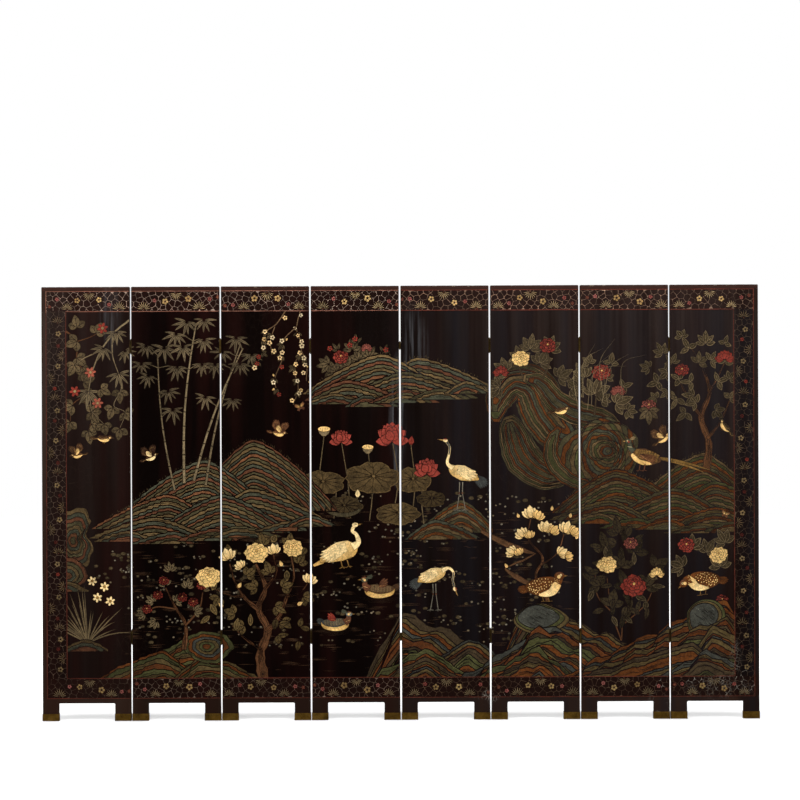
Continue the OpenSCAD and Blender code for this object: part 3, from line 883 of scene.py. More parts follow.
def egret(pen, rng, pose=0):
    """A plump white water bird, about 120 mm long at scale 1, resting or preening."""
    sp = [[-62, -16], [-36, -4], [-4, 4], [28, 8], [44, 14]]
    pen.shape([[-58, -10], [-84, -22], [-80, -28], [-52, -22]], PAL["butter"], 0.9)
    body(pen, sp, [3, 20, 27, 24, 10], PAL["ivory"], 1.1, c2=PAL["butter"], g=(-10, 34, 60))
    quills(pen, (14, 8), 192, 6, 78, 13, 32, PAL["ivory"], rng, fall=0.03, rim=PAL["butter"])
    feathers(pen, [[-30, 5], [-8, 10], [16, 14]], [12, 15, 12], PAL["ivory"], 4, 3, rng, tone=0.04, ink=0.4)
    for k in range(9):
        a = rng.uniform(-30, 38)
        pen.line([[a, -16 + rng.uniform(-3, 3)], [a - 9, -19 + rng.uniform(-3, 3)]], 0.6, PAL["ochre"])
    if pose == 0:
        nk = [[34, 12], [52, 22], [50, 44], [40, 56], [46, 68]]
        hd, ha = (50, 72), 0
    else:
        nk = [[34, 12], [56, 12], [66, -4], [58, -20]]
        hd, ha = (56, -25), -110
    pen.shape(ribbon(cr(nk, 4, False), [22, 15, 10, 9, 9]), PAL["ivory"], 0.9)
    head(pen, hd[0], hd[1], 8, PAL["ivory"], ha, 13, PAL["ochre"])
    for x in (-4, 14):
        pen.shape(ribbon([[x, -22], [x + 2, -40]], [3, 2.4]), PAL["ochre"], 0.6)
        for a in (200, 300, 350):
            b = math.radians(a)
            pen.shape(ribbon([[x + 2, -40], [x + 2 + 10 * math.cos(b), -42 + 4 * math.sin(b)]], [2.2, 1]), PAL["ochre"], 0.5)


def duck(pen, rng, c=None, wing=None, hd_c=None):
    """A duck on the water, about 110 mm long at scale 1."""
    c = PAL["brown"] if c is None else c
    wing = PAL["brick"] if wing is None else wing
    hd_c = PAL["teal"] if hd_c is None else hd_c
    quills(pen, (-34, 8), 164, 5, 30, 9, 40, shade(c, 0.8), rng)
    hull = cr([[-46, 6], [-38, -10], [-10, -18], [20, -17], [40, -6], [42, 10], [26, 20], [-6, 20], [-36, 16]], 4)
    pen.shape(hull, PAL["cream"], 1.1, c2=PAL["butter"], g=(0, -20, 40))
    pen.shape(cr([[-44, 8], [-30, -2], [0, -6], [24, 0], [38, 8], [26, 20], [-6, 22], [-36, 17]], 4), c, 0.8)
    feathers(pen, [[-32, 8], [-8, 9], [16, 11], [30, 12]], [8, 11, 11, 7], shade(c, 1.0), 8, 4, rng, tip=PAL["gold"], tone=0.2)
    for k in range(6):
        pen.line([[-30 + 11 * k, -9 + rng.uniform(-1, 1)], [-24 + 11 * k, -12]], 0.6, PAL["ochre"])
    quills(pen, (0, 16), 146, 4, 34, 10, 44, wing, rng, rim=PAL["butter"])
    pen.shape(ribbon(cr([[30, 8], [42, 18], [42, 32]], 4, False), [24, 17, 12]), PAL["brick"], 0.9)
    pen.line([[34, 12], [46, 16]], [1, 2.2, 1], PAL["cream"])
    head(pen, 44, 37, 10, hd_c, -4, 11, PAL["ochre"], crown=PAL["brick"], cheek=PAL["cream"])
    quills(pen, (38, 42), 168, 3, 22, 6, 30, PAL["teal"], rng)
    for k in range(4):
        z = -18 - 4.2 * k
        pen.line([[-64 + 9 * k, z], [-10, z - 2.2], [58 - 8 * k, z + 0.6]], [0.4, 1.1, 0.4], PAL["net_d"])


def songbird(pen, rng, c=None, breast=None, perched=True, spread=False):
    """A small bird, about 50 mm long at scale 1."""
    c = PAL["brown"] if c is None else c
    breast = PAL["cream"] if breast is None else breast
    quills(pen, (-14, -2), 190, 4, 27, 5, 18, shade(c, 0.85), rng, ink=0.5, rim=PAL["butter"])
    if spread:
        quills(pen, (6, 5), 80, 6, 38, 7.5, 40, shade(c, 0.9), rng, ink=0.5, rim=PAL["butter"])
    pen.shape(cr([[-18, -3], [-8, -9], [6, -9], [15, -2], [14, 6], [4, 8], [-10, 5]], 3), breast, 0.7)
    pen.shape(cr([[-19, -2], [-4, -1], [8, 2], [11, 7], [2, 9], [-11, 6]], 3), c, 0.6)
    if spread:
        quills(pen, (2, 4), 136, 7, 44, 8, 40, c, rng, ink=0.5, rim=PAL["butter"])
        quills(pen, (3, 4), 134, 5, 24, 7, 34, breast, rng, ink=0.45)
    else:
        quills(pen, (6, 4), 190, 4, 25, 5, 26, shade(c, 1.15), rng, ink=0.45, rim=PAL["butter"])
    head(pen, 16, 7, 6, c, 2, 5, PAL["ochre"], cheek=breast)
    if perched and not spread:
        for x in (-1, 3):
            pen.line([[x, -8], [x + 1, -14]], 0.9, PAL["ochre"])


def pheasant(pen, rng, tail=1.0):
    """A long-tailed cock bird, about 230 mm with its tail at scale 1."""
    for k, q in enumerate((-6, 5, 0)):
        L = 150 * tail * (1 - 0.12 * abs(q) / 6)
        t = np.linspace(0, 1, 9)
        m = np.stack([-34 - L * t, -4 - 34 * t**1.5 + q * t + 3], 1)
        w = np.array([7, 8, 8, 7.5, 7, 6, 5, 3.5, 1])
        pen.shape(ribbon(m, w), shade(PAL["ochre"], 0.8 - 0.1 * k), 0.8)
        for i in range(1, 9):
            d = m[min(i, 8)] - m[i - 1]
            d /= np.linalg.norm(d)
            v = np.array([-d[1], d[0]])
            mid = (m[i] + m[i - 1]) / 2
            pen.line([mid - v * w[i] * 0.42, mid - d * 3, mid + v * w[i] * 0.42], 1.0)
    body(pen, [[-46, -8], [-24, -2], [4, 4], [28, 12], [36, 22]], [4, 19, 23, 16, 9], PAL["brown"], 1.1)
    pen.shape(cr([[-20, -18], [4, -20], [28, -8], [38, 8], [30, 12], [14, -4], [-8, -10]], 4), PAL["butter"], 0.8, c2=PAL["cream"], g=(8, -20, 30))
    feathers(pen, [[-36, -2], [-14, 5], [8, 10], [26, 18]], [11, 15, 13, 8], PAL["ochre"], 9, 5, rng, tip=PAL["brown_d"], tone=0.25)
    quills(pen, (12, 8), 200, 5, 52, 9, 26, PAL["rust"], rng, rim=PAL["butter"])
    pen.shape(ribbon(cr([[30, 18], [40, 30], [42, 42]], 4, False), [17, 12, 9]), PAL["teal"], 0.8)
    pen.line([[36, 30], [47, 32]], [1, 3, 1], PAL["ivory"])
    head(pen, 45, 47, 8, PAL["teal"], 0, 9, PAL["butter"], cheek=PAL["red"])
    quills(pen, (40, 52), 158, 3, 17, 4.5, 30, PAL["gold"], rng, ink=0.4)
    for x in (-2, 12):
        pen.shape(ribbon([[x, -18], [x + 3, -34]], [3, 2.2]), PAL["brick"], 0.6)
        for a in (195, 300, 350):
            b = math.radians(a)
            pen.shape(ribbon([[x + 3, -34], [x + 3 + 9 * math.cos(b), -36 + 3 * math.sin(b)]], [2, 1]), PAL["brick"], 0.5)


def speckle(pen, P, n, c, rng, r=1.25, gap=3.4):
    """Pale dots scattered over a shape, none nearer to the next than gap."""
    lo, hi = P.min(0), P.max(0)
    got = []
    for _ in range(n * 14):
        q = rng.uniform(lo, hi)
        if len(got) >= n:
            break
        if within(P, q) and all(np.hypot(*(q - g)) > gap for g in got):
            got.append(q)
            pen.dot(q[0], q[1], r * rng.uniform(0.8, 1.15), c, 0, 6)


def quail(pen, rng, c=None, pose=0):
    """A round spotted ground bird with a cream breast, about 75 mm long at scale 1."""
    c = PAL["near_rust"] if c is None else c
    quills(pen, (-30, -2), 196, 5, 30, 8, 34, shade(c, 0.8), rng, rim=PAL["butter"])
    back = cr([[-42, -4], [-30, -15], [-4, -20], [22, -14], [31, 4], [18, 19], [-10, 19], [-34, 9]], 4)
    pen.shape(back, c, 1.1, c2=shade(c, 0.6), g=(10, 10, 50))
    breast = cr([[-14, -19], [4, -22], [22, -16], [33, 2], [27, 14], [16, 6], [8, -6], [-6, -13]], 4)
    pen.shape(breast, PAL["ivory"], 0.8, c2=PAL["cream"], g=(8, -20, 30))
    wing = cr([[-34, -2], [-18, -8], [4, -4], [14, 6], [8, 15], [-12, 16], [-30, 9]], 4)
    pen.shape(wing, shade(c, 0.66), 0.8)
    speckle(pen, wing, 38, PAL["cream"], rng, 1.15, 4.4)
    speckle(pen, cr([[-36, -2], [-28, -13], [-12, -16], [-16, -9], [-30, -3]], 3), 14, PAL["cream"], rng)
    for k in range(7):
        pen.line([[6 + 3 * k, -16 + 3.2 * k], [8.6 + 3 * k, -13 + 3.2 * k]], 0.7, PAL["brick"])
    x, y, a = (30, 22, 0) if pose == 0 else (40, 0, -35)
    pen.shape(ribbon([[24, 8], [(24 + x) / 2 + 2, (8 + y) / 2 + 1], [x, y]], [20, 17, 14]), c, 0.7)
    speckle(pen, ccw(ribbon([[22, 10], [x - 2, y - 3]], [14, 10])), 14, PAL["cream"], rng, 1.0, 3.0)
    head(pen, x, y, 10, shade(c, 0.8), a, 8, PAL["ochre"], crown=PAL["brick"], cheek=PAL["cream"])
    for x in (-6, 6):
        pen.line([[x, -21], [x + 2, -31]], 1.6, PAL["ochre"])
        pen.line([[x - 3, -32], [x + 9, -31]], 1.3, PAL["ochre"])


def butterfly(pen, c, c2):
    for s in (-1, 1):
        pen.shape(np.array([[0, 0], [5, 9], [13, 12], [14, 5], [8, 0]]) * [s, 1], c, 0.6, c2=c2, g=(0, 0, 13))
        pen.shape(np.array([[0, 0], [8, -1], [11, -7], [6, -10], [1, -5]]) * [s, 1], c2, 0.6)
        pen.line([[0, 3], [3 * s, 10]], 0.6, PAL["butter"])
    pen.shape([[0, 5], [1.4, 0], [0, -8], [-1.4, 0]], PAL["brown"], 0.4)


# ---------------------------------------------------------------------------------------------------------------------
# The picture: banks, water, flowers and birds that run on from leaf to leaf
# ---------------------------------------------------------------------------------------------------------------------
def seeded(k):
    return np.random.default_rng(9000 + k)


def tongues(p, r, at):
    """Low spurs that run out under a bank, so that its foot isn't one straight line."""
    for k, (x, z, half) in enumerate(at):
        mound(p, x, z, half, r.uniform(40, 54), r, pitch=12.5, ink=2.6, pale=0.6, dark=0.86, start=k, skew=r.uniform(-0.35, 0.35))


def far_bank(art):
    """A bank high up on leaves 4 and 5, with a flowering clump."""
    p, r = art.at(0, 0), seeded(1)
    for x, z, a in ((1290, 1490, 120), (1340, 1520, 80), (1240, 1470, 160), (1380, 1530, 60), (1210, 1500, 190), (1310, 1560, 100), (1420, 1500, 30), (1360, 1470, 20), (1270, 1440, 200)):
        spray(p, x, z, 5, 54, 22, a, 74, shade(PAL["leaf"], r.uniform(0.75, 1.0)), r, 1)
    for x, z, a in ((1330, 1590, 100), (1250, 1560, 130), (1440, 1550, 60)):
        spray(p, x, z, 3, 40, 12, a, 50, shade(PAL["leaf"], r.uniform(0.7, 1.0)), r, 0)
    peony(p, 1262, 1530, 34, PAL["red"], r)
    peony_side(p, 1370, 1566, 26, PAL["rose"], r)
    for x, z in ((1322, 1606), (1452, 1560), (1216, 1566), (1300, 1580)):
        blossom(p, x, z, 12, PAL["red"], r.uniform(0, 72), 5, PAL["gold"])
    mound(p, 1660, 1398, 250, 128, r, pitch=14.5, ink=3.4, pale=0.85, fringe=PAL["leaf"], dark=0.92, skew=-0.3)
    mound(p, 1400, 1376, 300, 165, r, pitch=14.5, ink=3.4, pale=0.85, fringe=PAL["leaf"], dark=0.98, skew=0.12)
    mound(p, 1560, 1356, 280, 110, r, pitch=14.5, ink=3.4, pale=0.85, dark=0.92, start=3, skew=-0.1)
    mound(p, 1320, 1348, 210, 84, r, pitch=14.5, ink=3.4, pale=0.85, dark=0.92, start=2, skew=-0.15)
    tongues(p, r, ((1250, 1334, 130), (1400, 1322, 120), (1530, 1338, 150), (1680, 1352, 130), (1800, 1376, 100)))


def mid_banks(art):
    """The long bank under the bamboo on leaves 2 and 3."""
    p, r = art.at(0, 0), seeded(2)
    mound(p, 930, 884, 320, 300, r, pitch=14.5, ink=3.4, pale=0.85, fringe=PAL["leaf"], dark=0.98, skew=-0.12, start=2)
    mound(p, 650, 848, 350, 250, r, pitch=14.5, ink=3.4, pale=0.85, fringe=PAL["leaf"], dark=1.0, start=5, skew=0.1)
    mound(p, 960, 826, 270, 150, r, pitch=14.5, ink=3.4, pale=0.85, dark=0.94, start=0, skew=-0.3)
    mound(p, 480, 812, 270, 140, r, pitch=14.5, ink=3.4, pale=0.85, fringe=PAL["leaf"], dark=0.97, start=6, skew=0.2)
    mound(p, 760, 792, 290, 160, r, pitch=14.5, ink=3.4, pale=0.85, dark=0.98, start=1, skew=0.0)
    mound(p, 450, 772, 250, 84, r, pitch=14.5, ink=3.4, pale=0.85, dark=0.94, start=4, skew=0.1)
    tongues(p, r, ((350, 758, 130), (520, 748, 140), (700, 760, 130), (860, 774, 150), (1020, 800, 120), (1130, 818, 110)))


def left_rock(art):
    p, r = art.at(0, 0), seeded(3)
    rock(p, [[60, 690], [130, 640], [190, 660], [214, 730], [186, 790], [206, 850], [160, 900], [90, 872], [40, 800]], r, 8, dark=0.8, centre=(130, 760), jag=0.035)
    rock(p, [[70, 560], [140, 556], [190, 610], [160, 668], [110, 690], [60, 676]], r, 5, dark=0.75, start=2, jag=0.03, centre=(110, 610))
    mound(p, 110, 548, 90, 40, r, dark=0.7)


def swirl_rock(art):
    """The hollow rock on leaves 6 and 7 with peonies on its back."""
    p, r = art.at(0, 0), seeded(4)
    c = ["moss", "near_rust", "moss", "olive", "near_green", "olive", "near_brick", "teal"]
    ridge(p, [[2230, 1010], [2120, 1030], [2030, 1100], [1990, 1200], [1960, 1290]], [60, 130, 160, 130, 80], r, dark=0.66, cols=c, start=2)
    ridge(p, [[1915, 1240], [1925, 1340], [1985, 1420], [2070, 1400], [2120, 1300], [2190, 1210], [2290, 1150]], [60, 120, 150, 190, 210, 200, 150], r, dark=0.75, cols=c, start=0, drift=0.25)
    ridge(p, [[2020, 1440], [2100, 1420], [2170, 1340], [2260, 1290], [2370, 1262], [2450, 1225]], [40, 74, 96, 104, 86, 40], r, dark=0.77, cols=c, start=3, drift=-0.15)
    rock(p, [[2170, 1110], [2190, 1040], [2250, 985], [2340, 968], [2420, 985], [2490, 1050], [2516, 1130], [2490, 1210], [2420, 1260], [2330, 1262], [2270, 1222], [2200, 1190]], r, 17, dark=0.8, cols=c, centre=(2390, 1130), twist=0.2, jag=0.035)
    ridge(p, [[2190, 1240], [2150, 1170], [2150, 1090], [2210, 1020], [2290, 985], [2380, 975]], [30, 56, 64, 60, 46, 20], r, dark=0.74, cols=c, start=1)


def right_banks(art):
    p, r = art.at(0, 0), seeded(5)
    c = ["olive", "near_green", "near_rust", "near_olive", "moss", "near_brick", "olive", "near_green"]
    mound(p, 2760, 880, 300, 240, r, fringe=PAL["leaf"], dark=0.66, cols=c, pitch=12.5, pale=0.95, ink=2.5, skew=0.1)
    mound(p, 2450, 872, 300, 180, r, fringe=PAL["leaf"], dark=0.66, start=2, skew=-0.1, cols=c, pitch=12.5, pale=0.95, ink=2.5)
    mound(p, 2880, 850, 230, 150, r, dark=0.64, start=1, cols=c, pitch=12.5, pale=0.95, ink=2.5, skew=-0.2)
    mound(p, 2640, 822, 290, 150, r, dark=0.68, start=4, cols=c, pitch=12.5, pale=0.95, ink=2.5, skew=0.1)
    mound(p, 2350, 842, 210, 80, r, dark=0.64, start=3, cols=c, pitch=12.5, pale=0.95, ink=2.5, skew=0.2)
    mound(p, 2840, 800, 230, 90, r, dark=0.64, start=2, cols=c, pitch=12.5, pale=0.95, ink=2.5)
    for k, (x, z, half) in enumerate(((2330, 826, 110), (2480, 806, 130), (2620, 800, 120), (2760, 784, 140), (2890, 790, 100))):
        mound(p, x, z, half, 40, r, pitch=12.0, ink=1.9, pale=0.95, cols=c, dark=0.66, start=k, skew=0.2)


def islet(art):
    p, r = art.at(0, 0), seeded(6)
    c = ["olive", "moss", "near_rust", "olive", "teal", "near_brick"]
    mound(p, 1750, 790, 170, 135, r, dark=0.85, start=1, cols=c, pitch=12.5, pale=0.6, ink=1.9, skew=0.1)
    mound(p, 1690, 762, 160, 80, r, dark=0.82, start=4, cols=c, pitch=12.5, pale=0.6, ink=1.9, skew=-0.2)
    spit(p, 1850, 800, 2080, 700, 26, r)
    spit(p, 2080, 700, 1950, 640, 8, r)
    spit(p, 1950, 640, 2080, 566, 24, r)


def near_rocks(art):
    """The large rocks along the foot of leaves 5 to 8: long strata that run down from each crest to both sides."""
    p, r = art.at(0, 0), seeded(7)
    c = ["near_green", "near_rust", "leaf_d", "near_olive", "near_rust", "near_slate", "near_olive", "near_brick", "leaf_d", "near_green"]

    def crag(cx, half, height, skew, start, dark=0.95, pitch=15.0, base=150, peak=1.1, roll=7.0):
        mound(p, cx, base, half, height, r, pitch=pitch, skew=skew, cols=c, dark=dark, peak=peak, jag=4.0, start=start, vary=0.45, roll=roll, ink=3.1, pale=0.35, fine=6)

    crag(1770, 420, 300, -0.62, 2)
    crag(1840, 300, 190, -0.15, 5, 0.95)
    crag(1590, 250, 150, 0.1, 0, 0.95)
    crag(2350, 470, 340, -0.65, 2)
    boulder(p, [[2006, 396], [1990, 424], [2010, 452], [2050, 476], [2104, 484], [2150, 470], [2190, 452], [2206, 416], [2150, 366], [2060, 362]], r, "near_slate", ["near_olive", "near_green"], -26, (-6, 5), 1.15, 46)
    crag(2060, 330, 250, 0.3, 5)
    crag(2290, 400, 235, -0.5, 7, 0.97)
    crag(2020, 240, 150, 0.3, 0, 0.94)
    crag(2600, 460, 345, 0.62, 4)
    crag(3010, 340, 345, -0.6, 1)
    boulder(p, [[2718, 410], [2716, 452], [2748, 492], [2800, 506], [2852, 486], [2872, 436], [2846, 380], [2790, 356], [2740, 372]], r, "near_slate", ["near_green", "near_olive"], -42, (-5, 2), 1.1, 60)
    crag(2640, 440, 270, 0.55, 6)
    crag(2960, 300, 240, -0.45, 3, 0.97)
    crag(2560, 360, 170, 0.5, 2, 0.95)
    crag(2850, 280, 130, -0.2, 5, 0.93)


def left_foreground(art):
    p, r = art.at(0, 0), seeded(8)
    c = ["near_olive", "near_rust", "near_green", "near_olive", "near_brick", "near_green"]
    mound(p, 600, 176, 230, 175, r, dark=0.85, start=2, cols=c, skew=0.1, roll=3, vary=0.3)
    mound(p, 440, 170, 220, 120, r, dark=0.8, start=1, cols=c, skew=0.3, roll=3, vary=0.3)
    mound(p, 740, 172, 190, 100, r, dark=0.85, start=0, cols=c, skew=-0.3, roll=3, vary=0.3)
    rock(p, [[600, 300], [640, 262], [720, 240], [790, 286], [800, 330], [746, 368], [660, 372], [604, 345]], r, 6, cols=["near_olive", "near_green", "near_rust", "near_slate"], dark=0.95, centre=(690, 312), start=1, jag=0.03)


def bamboo_grove(art):
    """Culms of bamboo that rise from the long bank and lean to the right, over leaves 2 and 3."""
    p, r = art.at(0, 0), seeded(9)
    back, front = shade(PAL["khaki"], 0.7), PAL["khaki"]
    culms = [(690, 990, 600, 10, 150, back), (560, 970, 570, 9, -70, back), (600, 1000, 660, 12, 50, front), (640, 1010, 560, 11, 210, front)]
    fans = []

    def clear(e):
        return e[1] < 1700 and all(np.hypot(*(e - f[0])) > 54 for f in fans)

    for x, z, h, w, lean, c in culms:
        pts = bamboo(p, x, z, h, w, lean, r, c, joints=11)
        for j in (11, 10, 10, 9, 9, 8, 7, 6):
            for side in (-1, 1):
                L = r.uniform(30, 84) * (1.0 if j < 11 else 0.6)
                e = pts[j] + [side * L, r.uniform(4, 44)]
                if clear(e) and (j > 8 or r.random() < 0.3):
                    p.line([pts[j], (pts[j] + e) / 2 + [0, 6], e], [2.6, 2.2, 1.8], c)
                    fans.append((e, c, side))
    for e, c, side in fans:
        bamboo_fan(p, e[0], e[1], r.uniform(54, 72), r, -90 + side * r.uniform(-6, 22), 7, r.uniform(86, 112), c)


def hanging_spray(art):
    """A flowering branch that comes down from the top of leaf 3, with small cream and gold flowers."""
    p, r = art.at(0, 0), seeded(22)
    twigs = [
        [[1092, 1726], [1076, 1650], [1098, 1570], [1064, 1490], [1082, 1400], [1060, 1330]],
        [[1076, 1660], [1020, 1600], [1014, 1520], [984, 1440], [996, 1370]],
        [[1030, 1726], [990, 1670], [940, 1630], [930, 1550], [900, 1490]],
        [[1094, 1560], [1118, 1500], [1116, 1430]],
        [[984, 1660], [966, 1600], [972, 1540]],
    ]
    for t in twigs:
        P = stem(p, t, [4.5, 4, 3, 2.4], mix(PAL["bark"], PAL["khaki"], 0.35), 1.2)
        for q in P[3::3]:
            if r.random() < 0.5:
                spray(p, q[0], q[1], 3, r.uniform(24, 34), 11, r.uniform(-150, -30), 46, shade(PAL["leaf"], r.uniform(0.7, 1.1)), r, 0)
        for q in P[2::2]:
            o = r.uniform(-15, 15, 2)
            k = r.random()
            if k < 0.52:
                blossom(p, q[0] + o[0], q[1] + o[1], r.uniform(8, 11.5), mix(PAL["cream"], lin("#d9c9a6"), r.uniform(0.1, 0.9)), r.uniform(0, 72), 5, PAL["rust"])
            elif k < 0.72:
                bud(p, q[0] + o[0], q[1] + o[1], r.uniform(7, 10), PAL["cream"], r.uniform(-140, -40))
            elif k < 0.80:
                blossom(p, q[0] + o[0], q[1] + o[1], 10, PAL["red"], r.uniform(0, 72), 5, PAL["gold"])


def bamboo_left(art):
    """A spray of bamboo that hangs in from the top of leaf 1, with small birds."""
    p, r = art.at(0, 0), seeded(10)
    stem(p, [[372, 1690], [310, 1640], [250, 1560], [214, 1470], [196, 1380]], [8, 7, 6, 4, 3], PAL["khaki"])
    stem(p, [[250, 1560], [180, 1530], [140, 1500]], [5, 4, 2], PAL["khaki"])
    stem(p, [[300, 1628], [300, 1540], [326, 1460]], [5, 4, 2], PAL["khaki"])
    for x, z, a, R in ((196, 1390, -96, 74), (326, 1464, -76, 70), (262, 1572, -120, 66), (316, 1640, -84, 66), (352, 1560, -60, 56)):
        bamboo_fan(p, x, z, R, r, a, 7, 92)
    for x, z, a in ((140, 1500, -120), (214, 1300, -60), (250, 1400, -30), (330, 1390, -90), (300, 1320, -110), (350, 1300, -50), (262, 1250, -80), (330, 1230, -100)):
        spray(p, x, z, 3, 52, 30, a, 60, shade(PAL["leaf"], r.uniform(0.85, 1.2)), r, 2)
    stem(p, [[196, 1390], [206, 1340], [214, 1302], [262, 1252]], [3, 2.4, 2, 1.6], PAL["khaki"])
    stem(p, [[326, 1464], [336, 1400], [304, 1330], [352, 1300], [330, 1236]], [3, 2.6, 2.2, 2, 1.6], PAL["khaki"])
    for x, z, c in ((206, 1470, "coral"), (236, 1340, "coral"), (140, 1390, "red"), (258, 1656, "red")):
        star_flower(p, x, z, 24, PAL[c], r.uniform(0, 60), 6, PAL["gold"])
    songbird(art.at(262, 1190, 1.5, -12), r)
    songbird(art.at(150, 1120, 1.2, 20, True), r, spread=True)


def vine(art):
    """A flowering creeper down the left of leaf 1."""
    p, r = art.at(0, 0), seeded(21)
    stem(p, [[96, 1650], [150, 1600], [150, 1520], [190, 1450], [176, 1360], [212, 1290], [196, 1220]], [7, 6, 5, 5, 4, 3, 2], PAL["bark"])
    stem(p, [[176, 1370], [128, 1330], [120, 1260]], [4, 3, 2], PAL["bark"])
    stem(p, [[150, 1600], [210, 1620], [262, 1650]], [4, 3, 2], PAL["bark"])
    for x, z, a in ((150, 1600, 200), (150, 1530, -40), (186, 1460, 150), (180, 1380, -30), (130, 1330, 200), (206, 1300, 40), (120, 1260, -110), (196, 1222, -80), (176, 1430, 20), (230, 1636, 60), (150, 1660, 100), (212, 1250, -10)):
        spray(p, x, z, 3, 54, 32, a, 58, shade(PAL["leaf"], r.uniform(0.8, 1.15)), r, 2)


def iris(art):
    p, r = art.at(0, 0), seeded(11)
    grass(p, 190, 330, 250, r, 24, shade(PAL["leaf_l"], 0.8), 70, 5.5)
    for x, z in ((232, 520), (262, 566), (210, 590), (286, 505)):
        star_flower(p, x, z, 21, PAL["ivory"], r.uniform(0, 60), 6, PAL["ochre"])
    mound(p, 180, 296, 110, 46, r, dark=0.6, pitch=14)


def magnolia_tree(art):
    """A magnolia on leaves 2 and 3: brown trunk, cream flowers."""
    p, r = art.at(0, 0), seeded(12)
    warm = np.array([1.06, 0.98, 0.72])
    trunk(p, [[930, 178], [918, 280], [950, 380], [910, 470], [940, 560], [900, 660]], [46, 36, 30, 24, 17, 9], r, knots=3)
    for path, w in (
        ([[944, 372], [1000, 440], [1030, 520], [1060, 600], [1050, 690]], [22, 15, 12, 8, 5]),
        ([[914, 462], [850, 520], [810, 590], [790, 660]], [18, 12, 8, 5]),
        ([[938, 552], [985, 620], [975, 700]], [12, 8, 4]),
        ([[850, 520], [780, 530], [700, 566]], [9, 6, 4]),
        ([[1030, 520], [1090, 540], [1120, 580]], [8, 6, 4]),
        ([[920, 300], [860, 340], [800, 400]], [11, 8, 4]),
    ):
        trunk(p, path, w, r, knots=0)
    for x, z, a in ((790, 690, 100), (700, 590, 150), (860, 610, 40), (812, 450, 160), (1010, 560, 20), (1080, 660, 60), (960, 620, 110), (1100, 520, -20), (905, 560, 170), (850, 400, 200), (980, 480, -30), (745, 520, -120), (1040, 740, 80), (930, 740, 100), (1010, 420, -40)):
        spray(p, x, z, 3, 54, 28, a, 48, warm * PAL["leaf"] * 0.95, r, 3)
    for _ in range(16):
        x, z = r.uniform(700, 1130), r.uniform(330, 770)
        leaf(p, x, z, r.uniform(36, 56), r.uniform(20, 28), r.uniform(0, 360), warm * PAL["leaf"] * r.uniform(0.5, 0.95), veins=2, rim=warm * PAL["leaf_l"] if r.random() < 0.5 else None)
    for x, z, q, a in ((786, 700, 50, 110), (978, 724, 42, 100), (1122, 600, 44, 70), (842, 664, 36, 130)):
        magnolia(p, x, z - 20, q, PAL["ivory"], r, a, 1.1)
    peony(p, 904, 706, 54, PAL["cream"], r)
    peony(p, 1056, 724, 46, PAL["cream"], r)
    peony(p, 700, 606, 56, PAL["cream"], r)
    for x, z, a in ((826, 560, 60), (1010, 650, 110), (760, 480, 140), (1076, 486, 30)):
        bud(p, x, z, 20, PAL["cream"], a)


def rose_bush(art):
    """A small spiky bush with red flowers on leaves 2 and 4."""
    p, r = art.at(0, 0), seeded(13)
    trunk(p, [[596, 300], [604, 400], [560, 480], [520, 560]], [22, 14, 9, 5], r, knots=1)
    stem(p, [[602, 400], [660, 470], [676, 540]], [9, 6, 4], PAL["bark"])
    stem(p, [[566, 470], [480, 480], [430, 450]], [7, 5, 3], PAL["bark"])
    for x, z, a in ((520, 570, 110), (676, 550, 70), (430, 452, 190), (560, 500, 40), (470, 500, 140), (640, 460, 20), (610, 560, 80), (480, 420, 220), (540, 630, 100)):
        spray(p, x, z, 5, 44, 15, a, 62, PAL["leaf_l"], r, 1)
    for x, z in ((512, 590), (672, 570), (440, 470), (590, 520), (486, 530), (636, 500)):
        peony(p, x, z, 23, PAL["red"], r)


def pond(art):
    """Lotus over the water on leaves 3 to 5."""
    p, r = art.at(0, 0), seeded(14)
    clear = lambda x, z: not (380 < x < 1100 and z > 780) and not (x < 330 and z > 520)
    ripples(art, 330, 2220, 200, 880, 330, r, c=mix(PAL["net_d"], PAL["rust"], 0.25), keep=clear)
    duckweed(art, 340, 1120, 300, 790, 60, r, keep=clear)
    duckweed(art, 1120, 2200, 330, 960, 112, r)
    duckweed(art, 230, 400, 600, 720, 5, r)
    for path in (
        [[1230, 850], [1240, 960], [1232, 1040]], [[1380, 840], [1392, 960], [1376, 1130]], [[1480, 860], [1500, 1010], [1478, 1180]], [[1300, 850], [1290, 1000], [1262, 1180]],
        [[1180, 880], [1168, 1000], [1190, 1200]], [[1610, 820], [1600, 940], [1620, 1040]], [[1560, 860], [1572, 1000], [1556, 1160]],
    ):
        stem(p, path, [4, 4, 3.4], PAL["leaf"])
    lotus_leaf(p, 1180, 1000, 96, 50, shade(lin("#5f4b2c"), 0.9), r)
    lotus_leaf(p, 1560, 1010, 84, 52, shade(lin("#5f4b2c"), 0.9), r)
    lotus_leaf(p, 1392, 1020, 112, 66, shade(lin("#5f4b2c"), 0.9), r)
    lotus_leaf(p, 1270, 900, 80, 44, lin("#45361f"), r, fold=0.3)
    lotus_leaf(p, 1500, 868, 92, 46, shade(lin("#5f4b2c"), 0.9), r)
    lotus_leaf(p, 1640, 930, 60, 34, lin("#45361f"), r)
    lotus(p, 1476, 1200, 74, PAL["red"], r)
    lotus(p, 1262, 1190, 50, PAL["red"], r)
    lotus(p, 1622, 1060, 58, PAL["red"], r)
    bud(p, 1556, 1160, 30, PAL["red"], 84)
    pod(p, 1190, 1218, 26)
    pod(p, 1374, 1142, 24)
    bud(p, 1330, 940, 26, PAL["ivory"], 88)


